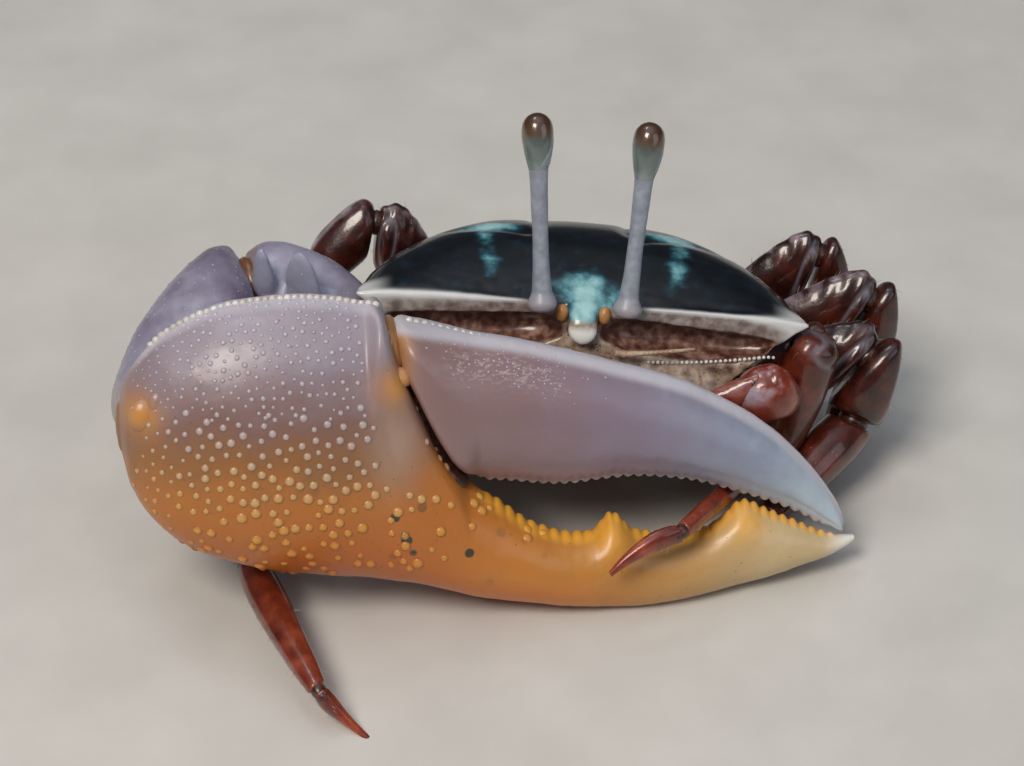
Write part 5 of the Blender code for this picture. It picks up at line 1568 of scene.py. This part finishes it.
def crest_line(sections, start, end, count, bulk_from, bulk_to):
    """Points along the upper edge of the claw for a row of beads, with each bead's radius."""
    rows = []
    for at in np.linspace(start, end, count):
        at = float(at)
        top, _, outer, _, _ = smooth_table(sections, at)
        bulk = bulk_from + (bulk_to - bulk_from) * ((at - start) / (end - start))
        curl = -FINGER_CURL * max(at, 0.0) ** 2
        rows.append((at, top - 0.2 * bulk, curl + outer * 0.1, bulk))
    return rows


def bead_row(name, rows, carrier, pitch, material, slot):
    """A row of beads along a line of (x, y, z, radius) rows, all in mm."""
    points = np.array([row[:3] for row in rows])
    steps = [(k, k + 1) for k in range(len(rows) - 1)]
    mesh = bpy.data.meshes.new(name)
    mesh.from_pydata((carried(points, carrier) * MM).tolist(), steps, [])
    keep_marks(mesh, {"bulk": [row[3] * MM for row in rows], "local": points})
    obj = in_scene(name, mesh)
    run_tree(obj, BEADS, Pitch=pitch * MM, Finish=material)
    PIECES.append((obj, [], slot))


def knob(middle, radii):
    """A rounded hinge knob on the claw, in the claw's frame, with the claw's own marks."""
    flat = np.full((17, 28), 0.5)
    return shell(ball_rings(middle, radii, 28, 16), along=flat, upper=flat * 0, front=flat)


def seam_skin():
    """The soft skin between the palm and the movable finger, behind their seam."""
    table = numbered(SEAM_PATH)
    last = len(SEAM_PATH) - 1
    cosine, sine = oval(24, 2.4)
    rings = []
    for k in range(61):
        at = last * k / 60
        here = np.array(smooth_table(table, at))
        ahead = np.array(smooth_table(table, min(at + 0.05, float(last))))
        way = ahead - np.array(smooth_table(table, max(at - 0.05, 0.0)))
        way /= np.linalg.norm(way)
        squeeze = min(1.0, math.sqrt(max(1 - (2 * k / 60 - 1) ** 8, 0.0)) + 0.02)
        depth = 2.6 if at < 1.5 else 2.2
        rings.append(carried(np.stack([
            here[0] - way[1] * 0.75 * cosine * squeeze, here[1] + way[0] * 0.75 * cosine * squeeze,
            0.1 + depth * sine * squeeze,
        ], 1), CLAW))
    light = 0.6 * step_down(np.linspace(0, 6, 61), 1.2, 2.0)
    return shell(rings, light=np.repeat(light[:, None], 24, axis=1))


def palm_marks(points, normals, kept):
    """Where the palm has pearls, beads, teeth, spots, a smooth patch and hinges."""
    x, y, _ = points.T
    upper, front = kept["upper"], kept["front"]
    face = step_up(front, 0.02, 0.25)
    back_end = step_up(x, -17.2, -15.8)
    seam = step_down(x - np.interp(y, (-8, -1, 4.5), (3.4, -1.2, -1.9)), -1.6, -0.3)
    smooth_patch = hump(np.hypot(x + 0.6, (y + 3.3) * 0.55), 1.3)
    crowd = face * back_end * seam * step_down(smooth_patch, 0.3, 0.7)
    low = step_up(-y, 0.2, 1.6)
    found = {"crowd": np.clip(crowd * (1 - low), 0, 1)}
    low *= (1 - 0.5 * step_up(-y, 5.5, 8.0)) * step_down(-y, 11.5, 13.0) * crowd
    pollex = 0.3 * face * step_up(x, 0.0, 3.0) * step_down(x, 8.0, 13.0) * step_down(-y, 9.5, 11.0)
    found["crowd_low"] = np.clip(np.maximum(low, pollex), 0, 1)
    found["bulk"] = (0.75 + 0.2 * step_up(-y, 3.0, 7.0)) * (0.6 + 0.4 * step_up(x, -16.0, -11.0))
    found["pearl"] = np.zeros(len(points))
    found["crest"] = 0.75 * step_up(upper, 0.93, 0.99) * step_down(x, -2.0, -1.0) * back_end
    great = np.maximum(hump(np.hypot(x - 13.4, y + 10.6), 1.1), hump(np.hypot(x - 22.6, y + 10.3), 1.1))
    found["saw"] = np.maximum(0.8 * step_up(upper, 0.8, 0.97) * step_up(x, 4.0, 6.0), 0.7 * great)
    found["spotted"] = hump(np.hypot((x - 1.0) * 0.3, y + 9.2 + 0.35 * x), 1.3) * face
    found["pale"] = 0.8 * smooth_patch * face
    found["hinge"] = np.maximum(
        hump(np.hypot(x + 0.4, y - 0.6), 1.0), hump(np.hypot(x + 16.3, y + 1.2), 1.0)
    )
    return found


def palm_relief(points, normals, kept):
    """Lumps of the palm, and the dent in front of the finger's hinge."""
    x, y, _ = points.T
    rise = 0.07 * soft_noise(points, 2.2, 31) + 0.02 * soft_noise(points, 0.5, 32)
    rise += 0.12 * hump(np.hypot(x + 0.9, y + 0.5), 0.7) * step_up(kept["front"], 0.3, 0.7)
    rise -= 0.10 * hump(np.hypot(x + 0.4, (y + 3.2) * 0.5), 1.2) * step_up(kept["front"], 0.3, 0.7)
    return rise


def finger_marks(points, normals, kept):
    """Where the movable finger has pearls, a pale crest, teeth, flecks and its hinge."""
    x, y, _ = points.T
    upper, front = kept["upper"], kept["front"]
    face = step_up(front, 0.05, 0.3)
    top = np.array([smooth_table(FINGER_SECTIONS, float(v))[0] for v in x])
    below = top - y
    found = {"pearl": np.zeros(len(points))}
    found["crest"] = step_down(below, 0.25, 0.75) * 0.9
    found["saw"] = step_up(-upper, 0.9, 0.99) * step_up(x, 4.0, 6.0) * 0.8
    band = hump(below - 1.5 - 0.02 * (x - 6.5) ** 2, 0.7) * step_up(x, 2.0, 4.0)
    found["flecked"] = 0.6 * band * step_down(x, 9.0, 11.0) * face
    found["hinge"] = step_down(x, -0.3, 1.2) * 0.8
    found["crowd"] = np.clip(band * step_down(x, 9.0, 11.5) + 0.4 * hump(below - 0.8, 0.5), 0, 1)
    found["crowd"] *= face * step_up(x, 0.8, 2.0) * step_down(x, 11.0, 16.0)
    found["bulk"] = np.full(len(points), 0.55)
    return found


def finger_relief(points, normals, kept):
    """Lumps of the movable finger, its keel and the furrow over its teeth."""
    x = points[:, 0]
    front = kept["front"]
    rise = 0.05 * soft_noise(points, 2.0, 41) + 0.015 * soft_noise(points, 0.45, 42)
    rise += 0.12 * hump(kept["upper"] - 1.0, 0.04) * step_up(x, 0.5, 2.0)
    rise -= 0.08 * hump(kept["upper"] + 0.72, 0.12) * step_up(front, 0.1, 0.5) * step_up(x, 4.0, 8.0)
    return rise


def major_cuts():
    """The joints of the great claw's arm, and the planes that its segments are cut by."""
    hip, way = hip_of(*MAJOR_HIP)
    elbow, wrist = (floor_point(p) for p in MAJOR_ARM)
    palm = CLAW @ Vector((-8.0, -3.5, 0))
    hip_cut = hip_plane(way, hip, elbow)
    return hip, elbow, wrist, hip_cut, mitre(hip, elbow, wrist), mitre(elbow, wrist, palm)


def merus_tooth(index, hip, elbow):
    """One of the two flat teeth that stand on the great claw's merus."""
    share, tall, half = MERUS_TEETH[index]
    axis = (elbow - hip).normalized()
    front = Vector((0, -0.8, 0.35)).normalized()
    root = hip.lerp(elbow, share) + TOOTH_ROOT
    up = Vector((0, -0.12, 1)).normalized()
    table = ((0.0, 1.0), (0.45, 0.95), (0.8, 0.62), (0.95, 0.36), (1.0, 0.16))
    rings = []
    cosine, sine = oval(40)
    for height in np.linspace(0, 1, 24):
        scale = smooth_table(table, float(height))[0]
        middle = np.array(root + up * (tall * float(height)))
        rings.append(
            middle + np.outer(half * scale * cosine, axis) + np.outer(0.75 * scale * sine, front)
        )
    return shell(rounded_ends(rings, 0.2, 0.15, 5))


def merus_marks(points, normals, kept):
    """Where the great merus is brown, pale on its teeth, and granulated."""
    x, y, z = points.T
    hip, elbow = major_cuts()[:2]
    tooth = np.zeros(len(points))
    for share, _, half in MERUS_TEETH:
        root = hip.lerp(elbow, share) + TOOTH_ROOT
        near = step_down(np.abs(x - root.x), half, half + 0.5)
        tooth = np.maximum(tooth, near * step_up(z, root.z + 0.6, root.z + 1.6) * (y < root.y + 0.9))
    return {
        "pearl": x * 0, "sand": x * 0, "pale": tooth * 0.9, "brown": step_up(x, -12.5, -7.5) * 0.75,
        "hinge": step_down(x, -17.6, -16.6) * 0.5, "bulk": x * 0 + 0.5,
        "crowd": 0.3 * step_up(z, 15.0, 17.0) * step_down(z, 19.0, 20.0),
    }


def carpus_marks(points, normals, kept):
    """Where the great wrist is pale, sandy and granulated."""
    x, y, z = points.T
    return {
        "pearl": x * 0, "brown": x * 0, "bulk": x * 0 + 0.6,
        "pale": 0.5 * step_up(-x, 17.0, 20.0) * step_down(z, 15.0, 18.0),
        "hinge": hump(np.hypot(x + 20.5, z - 14.2), 1.2) * 0.9,
        "sand": step_down(z, 13.0, 16.5) * step_up(-y, -4.0, 1.0),
        "crowd": 0.35 + 0.5 * step_down(z, 14.0, 18.0),
    }


def arm_relief(points, normals, kept):
    """Low lumps of the great claw's arm."""
    return 0.09 * soft_noise(points, 2.4, 51) + 0.025 * soft_noise(points, 0.6, 52)


# The small claw


MINOR_ARM = ((12.45, -0.7, 9.3), (11.4, -1.65, 12.0), (7.8, -2.2, 10.1), (5.0, -2.5, 9.7))
MINOR_MERUS_PROFILE = (
    (0.0, 0.8, 0.8, 0.75, 2.0), (0.4, 0.9, 1.1, 0.95, 2.0), (0.75, 1.0, 1.2, 1.0, 2.0),
    (1.0, 0.7, 0.8, 0.85, 2.0),
)
MINOR_CARPUS_PROFILE = (
    (0.0, 0.6, 0.8, 0.8, 2.0), (0.3, 2.1, 1.8, 1.75, 2.0), (0.6, 2.3, 2.0, 1.85, 2.0),
    (0.9, 1.4, 1.5, 1.3, 2.0), (1.0, 0.6, 0.9, 0.8, 2.0),
)
MINOR_PALM_PROFILE = (
    (0.0, 0.75, 0.75, 0.65, 2.0), (0.45, 1.05, 1.05, 0.8, 2.0), (1.0, 1.05, 1.05, 0.65, 2.2),
)
MINOR_FINGER_PROFILE = (
    (0.0, 0.45, 0.45, 0.55, 2.2), (0.5, 0.34, 0.34, 0.42, 2.0), (0.9, 0.34, 0.34, 0.45, 2.0),
    (1.0, 0.26, 0.26, 0.3, 2.0),
)
FINGER_SPREAD = 0.6
WRIST_BALL = (2.1, 1.75, 1.95)


def make_minor_claw(leg_skin):
    """The small claw with its arm, and the soft sleeves in its joints."""
    hip, way = hip_of(*MINOR_HIP)
    elbow, wrist, knuckle, tip = (floor_point(p) for p in MINOR_ARM)
    up = Vector((0, -0.1, 1))
    cuts = [
        hip_plane(way, hip, elbow), mitre(hip, elbow, wrist), mitre(elbow, wrist, knuckle),
        (knuckle - wrist).normalized(),
    ]
    axis = (tip - knuckle).normalized()
    spread = (up - axis * up.dot(axis)).normalized() * FINGER_SPREAD

    def relief(points, normals, kept):
        return 0.04 * soft_noise(points, 1.0, 61) + 0.015 * soft_noise(points, 0.3, 62)

    def finger(start, end, bow):
        rings, marks = limb_rings(
            start, end, cuts[3], axis, up, MINOR_FINGER_PROFILE, 32, 40, bow, end_gap=0.0, edge=0.2
        )
        return shell(rings, **marks)

    def finish(name, made, redness, pale):
        def marks(points, normals, kept):
            # painted highlight: pale lilac where the surface faces the key light, above at the front left
            lit = step_up(normals @ np.array([-0.45, -0.55, 0.7]), 0.55, 0.9)
            return {"red": np.full(len(points), redness), "knee": np.zeros(len(points)), "pale": pale * lit}
        piece(f"{name}_cuticle", made, STANCE, leg_skin, [name], "leg_shell", relief, marks)

    # the last column is how strong the painted highlight is on each piece
    for name, start, end, profile, k, redness, pale in (
        ("minor_merus", hip, elbow, MINOR_MERUS_PROFILE, 0, 0.5, 0.2),
        ("minor_carpus", elbow, wrist, MINOR_CARPUS_PROFILE, 1, 0.75, 1.0),
        ("minor_palm", wrist, knuckle, MINOR_PALM_PROFILE, 2, 0.7, 0.4),
    ):
        swollen = name == "minor_carpus"
        rings, marks = limb_rings(
            start, end, cuts[k], cuts[k + 1], Vector((1, 0, 0.3)) if swollen else up, profile,
            60, 60, edge=0.6 if swollen else 0.35,
        )
        made = shell(rings, **marks)
        if swollen:
            middle = start.lerp(end, 0.55) + Vector((0.15, -0.15, 0.2))
            made = fused([made, shell(ball_rings(middle, WRIST_BALL, 40, 24))], 0.12, 4)
        if name == "minor_palm":
            made = joined(made, finger(knuckle - spread - axis, tip - spread * 0.75, -0.2))
        finish(name, made, redness, pale)
    finish("minor_finger", finger(knuckle + spread, tip + spread * 0.75, 0.2), 0.7, 0.4)
    return [
        membrane(hip, cuts[0], 0.7, 0.7), membrane(elbow, cuts[1], 0.75, 0.8),
        membrane(wrist, cuts[2], 0.7, 0.8),
    ]


# Putting the crab together


BEADS = bead_tree()


def antennule_shells():
    """Two orange nubs beside the front lobe, where the antennules fold away."""
    found = []
    for side in (-1, 1):
        rings = ball_rings((1.4 * side, -0.5, -0.25), (0.42, 0.4, 0.6), 24, 12)
        found.append(shell([carried(ring, BODY) for ring in rings], light=np.full((13, 24), 0.9)))
    return found


def make_body():
    """Carapace, thorax, tail, mouthparts and antennae."""
    back, belly, beads = back_cuticle(), belly_cuticle(), bead_enamel()
    lobe = shell(rounded_ends(path_rings(FRONT_PATH, 40, 2.3, steps=8), 0.1, 0.1, 5))
    piece(
        "carapace_cuticle", fused([shell(carapace_rings()), lobe], 0.15, 2), BODY, back,
        ["carapace"], "back_shell", carapace_relief, carapace_marks,
    )
    for name, side in SIDES.items():
        rows = []
        for x in np.linspace(4.6, 12.9, 60):
            z = float(ridge_height(np.array([x]))[0])
            rows.append((side * float(x), FACE_Y - 0.16 + 0.25 * ((x - 2.6) / 10) ** 2, z + 0.05, 0.13))
        bead_row(f"orbit_beads_{name}", rows, BODY, 0.31, beads, "belly_shell")

    def thorax_relief(points, normals, kept):
        return -0.22 * suture_of(points) + 0.05 * soft_noise(points, 1.4, 71)

    def thorax_marks(points, normals, kept):
        side = step_up(np.abs(points[:, 0]), 8.0, 10.0)
        return {"groove": suture_of(points) * 0.8, "red": side * 0.8}

    piece("thorax_cuticle", fused([thorax_shell()] + coxa_shells(), 0.16, 2), BODY, belly,
          ["thorax"], "belly_shell", thorax_relief, thorax_marks)
    path = abdomen_path()
    rings = path_rings(path, 60, 2.8, steps=10)
    step = np.repeat(np.linspace(0, len(path) - 1, len(rings))[:, None], 60, axis=1)

    def abdomen_groove(kept):
        return hump(np.abs(kept["step"] - np.round(kept["step"])), 0.07) * (kept["step"] > 0.5)

    piece(
        "abdomen_cuticle", capped(rings, {"step": step}, 0.15, 0.15, 4), BODY, belly,
        ["abdomen"], "belly_shell",
        lambda points, normals, kept: -0.14 * abdomen_groove(kept) + 0.03 * soft_noise(points, 1.0, 73),
        lambda points, normals, kept: {
            "groove": abdomen_groove(kept) * 0.8, "red": np.zeros(len(points))
        },
    )
    for name, side in SIDES.items():
        def mouth_relief(points, normals, kept, side=side):
            joint = hump(points[:, 2] + 5.6 + 0.15 * points[:, 0] * side, 0.13)
            furrow = hump(points[:, 0] * side - 1.3, 0.18) * step_up(-points[:, 2], 5.8, 6.4)
            return -0.16 * joint - 0.1 * furrow + 0.04 * soft_noise(points, 0.9, 75)

        def mouth_marks(points, normals, kept, side=side):
            joint = hump(points[:, 2] + 5.6 + 0.15 * points[:, 0] * side, 0.15)
            return {"groove": joint * 0.7, "red": np.full(len(points), 0.25)}

        piece(f"mouthpart_{name}_cuticle", mouth_shell(side), BODY, belly,
              [f"mouthpart_{name}"], "belly_shell", mouth_relief, mouth_marks)
        piece(f"antenna_{name}_whip", antenna_shell(side), BODY, belly,
              [f"antenna_{name}"], "belly_shell")


def make_major():
    """The great claw with its arm, pearls and beads, and the soft skin in its joints."""
    hip, elbow, wrist, hip_cut, elbow_cut, wrist_cut = major_cuts()
    arm, claw, finger_skin, beads = arm_cuticle(), claw_cuticle(), finger_cuticle(), bead_enamel()
    rings, _ = limb_rings(
        hip, elbow, hip_cut, elbow_cut, MERUS_UP, MAJOR_MERUS_PROFILE, 72, 90, MERUS_BOW, edge=0.6
    )
    skin = fused([shell(rings)] + [merus_tooth(k, hip, elbow) for k in (0, 1)], 0.13, 3)
    merus = piece("major_merus_cuticle", skin, STANCE, arm, ["major_merus"], "lilac_shell",
                  arm_relief, merus_marks)
    rings, _ = limb_rings(
        elbow, wrist, elbow_cut, wrist_cut, CARPUS_UP, MAJOR_CARPUS_PROFILE, 120, 110, 0.6,
        end_gap=-1.0, edge=0.7,
    )
    carpus = piece("major_carpus_cuticle", shell(rings), STANCE, arm, ["major_carpus"],
                   "lilac_shell", arm_relief, carpus_marks)
    stations = np.concatenate([
        np.linspace(-17.75, -16.6, 14), np.linspace(-16.45, 5.0, 100), np.arange(5.1, 30.16, 0.11)
    ])
    rings, marks = claw_rings(PALM_SECTIONS, stations, 150, upper_teeth=palm_teeth, flush=palm_flush)
    made = joined(
        capped([on_floor(ring) for ring in rings], marks, 0.3, 0.12),
        *(knob(middle, radii) for middle, radii in HINGE_KNOBS),
    )
    palm = piece("major_palm_cuticle", made, CLAW, claw, ["major_palm"], "amber_shell",
                 palm_relief, palm_marks)
    stations = np.concatenate([np.linspace(-0.55, 4.4, 40), np.arange(4.5, 29.31, 0.11)])
    rings, marks = claw_rings(FINGER_SECTIONS, stations, 140, lower_teeth=finger_teeth, flush=finger_flush)
    finger = piece("major_finger_cuticle", capped(rings, marks, 0.3, 0.1), CLAW, finger_skin,
                   ["major_finger"], "lilac_shell", finger_relief, finger_marks)
    pearls = pearl_tree()
    for obj, finish, where, spacing, radius, rise, seed in (
        (merus, arm, "crowd", 0.55, 0.17, 0.6, 4), (carpus, arm, "crowd", 0.5, 0.17, 0.6, 4),
        (palm, claw, "crowd", 0.48, 0.25, 0.7, 7), (palm, claw, "crowd_low", 0.7, 0.42, 0.62, 9),
        (finger, finger_skin, "crowd", 0.32, 0.15, 0.8, 8),
    ):
        run_tree(obj, pearls, Spacing=spacing * MM, Radius=radius * MM, Rise=rise, Seed=seed,
                 Finish=finish, Where=where)
    for name, line, pitch in (
        ("palm", crest_line(PALM_SECTIONS, -15.6, -1.5, 80, 0.26, 0.24), 0.46),
        ("finger", crest_line(FINGER_SECTIONS, 0.6, 7.0, 50, 0.3, 0.1), 0.5),
    ):
        bead_row(f"{name}_crest_beads", line, CLAW, pitch, beads, "lilac_shell")
    return [membrane(hip, hip_cut, 1.3, 0.8), membrane(elbow, elbow_cut, 1.9, 1.0, 0.2), seam_skin()]


def make_crab():
    """All pieces of the crab. The bristles and the soft skin in the joints come after the limbs."""
    make_body()
    skin, cornea, leg_skin, horn = stalk_skin(), eye_cornea(), leg_cuticle(), seta_horn()
    for name in SIDES:
        make_eye(name, skin, cornea)
    bristles = seta_tree()
    sleeves, hairy = [], []
    for name in LEGS:
        found, soft = make_leg(name, leg_skin)
        hairy += found
        sleeves += soft
    for obj in hairy:
        tuft = in_scene(obj.name.replace("cuticle", "bristles"), obj.data.copy())
        run_tree(tuft, bristles, Finish=horn, **BRISTLES)
        PIECES.append((tuft, [], "leg_shell"))
    sleeves += make_minor_claw(leg_skin) + make_major() + antennule_shells()
    piece("limb_joint_membranes", joined(*sleeves), STANCE, joint_membrane(), [], "leg_shell")


# Camera, floor and lights


CAMERA_PLACE = Vector((-0.127, -131.474, 115.08)) * MM
CAMERA_TILT = 52.0
CAMERA_LENS = 89.62
FLOOR_REACH = 1.2
SKY = ((0.0, "#33373c"), (0.6, "#484d53"), (0.85, "#9aa1a9"), (1.0, "#f2f5f8"))
SKY_STRENGTH = 0.9
LAMPS = (
    ("key_light", (-0.16, -0.24, 0.40), 0.18, 1.5, "#fff6ea"),
    ("fill_light", (0.35, -0.25, 0.25), 0.3, 0.3, "#eaf2ff"),
    ("back_light", (-0.15, 0.2, 0.55), 0.12, 0.25, "#f4f8ff"),
)  # place and size in metres, watts, colour
LIT_POINT = Vector((0.0, 0.0, 10.0)) * MM


def make_camera():
    """The camera at the photo's angle and distance."""
    data = bpy.data.cameras.new("camera")
    data.lens = CAMERA_LENS
    data.sensor_width = 36.0
    data.clip_start = 0.001
    camera = in_scene("camera", data)
    camera.location = CAMERA_PLACE
    camera.rotation_euler = (math.radians(CAMERA_TILT), 0.0, 0.0)
    bpy.context.scene.camera = camera


def make_floor():
    """A wide plaster board that the crab rests on."""
    mesh = bpy.data.meshes.new("studio_floor")
    corners = [(x * FLOOR_REACH, y * FLOOR_REACH, 0) for x, y in ((-1, -1), (1, -1), (1, 1), (-1, 1))]
    mesh.from_pydata(corners, [], [(0, 1, 2, 3)])
    mesh.materials.append(studio_floor())
    obj = in_scene("studio_floor", mesh)


def make_lights():
    """A large soft light above the front left, weaker ones to the right and high behind."""
    scene = bpy.context.scene
    scene.view_settings.view_transform = "Standard"
    world = bpy.data.worlds.new("studio")
    scene.world = world
    world.use_nodes = True
    tree = world.node_tree
    way = node(tree, "ShaderNodeTexCoord").outputs["Generated"]
    height = node(tree, "ShaderNodeSeparateXYZ", {0: way}).outputs[2]
    sky = node(tree, "ShaderNodeValToRGB", {0: height}, stops=SKY).outputs[0]
    background = tree.nodes["Background"]
    tree.links.new(sky, background.inputs["Color"])
    background.inputs["Strength"].default_value = SKY_STRENGTH
    for name, place, size, power, colour in LAMPS:
        data = bpy.data.lights.new(name, "AREA")
        data.size = size
        data.energy = power
        data.color = linear(colour)[:3]
        light = in_scene(name, data)
        light.location = place
        light.rotation_euler = (LIT_POINT - Vector(place)).to_track_quat("-Z", "Y").to_euler()


make_camera()
make_floor()
make_lights()
make_crab()
for obj, nodes, slot in PIECES:
    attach(obj, "root")
    if nodes:
        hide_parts(*nodes)
bpy.context.view_layer.update()
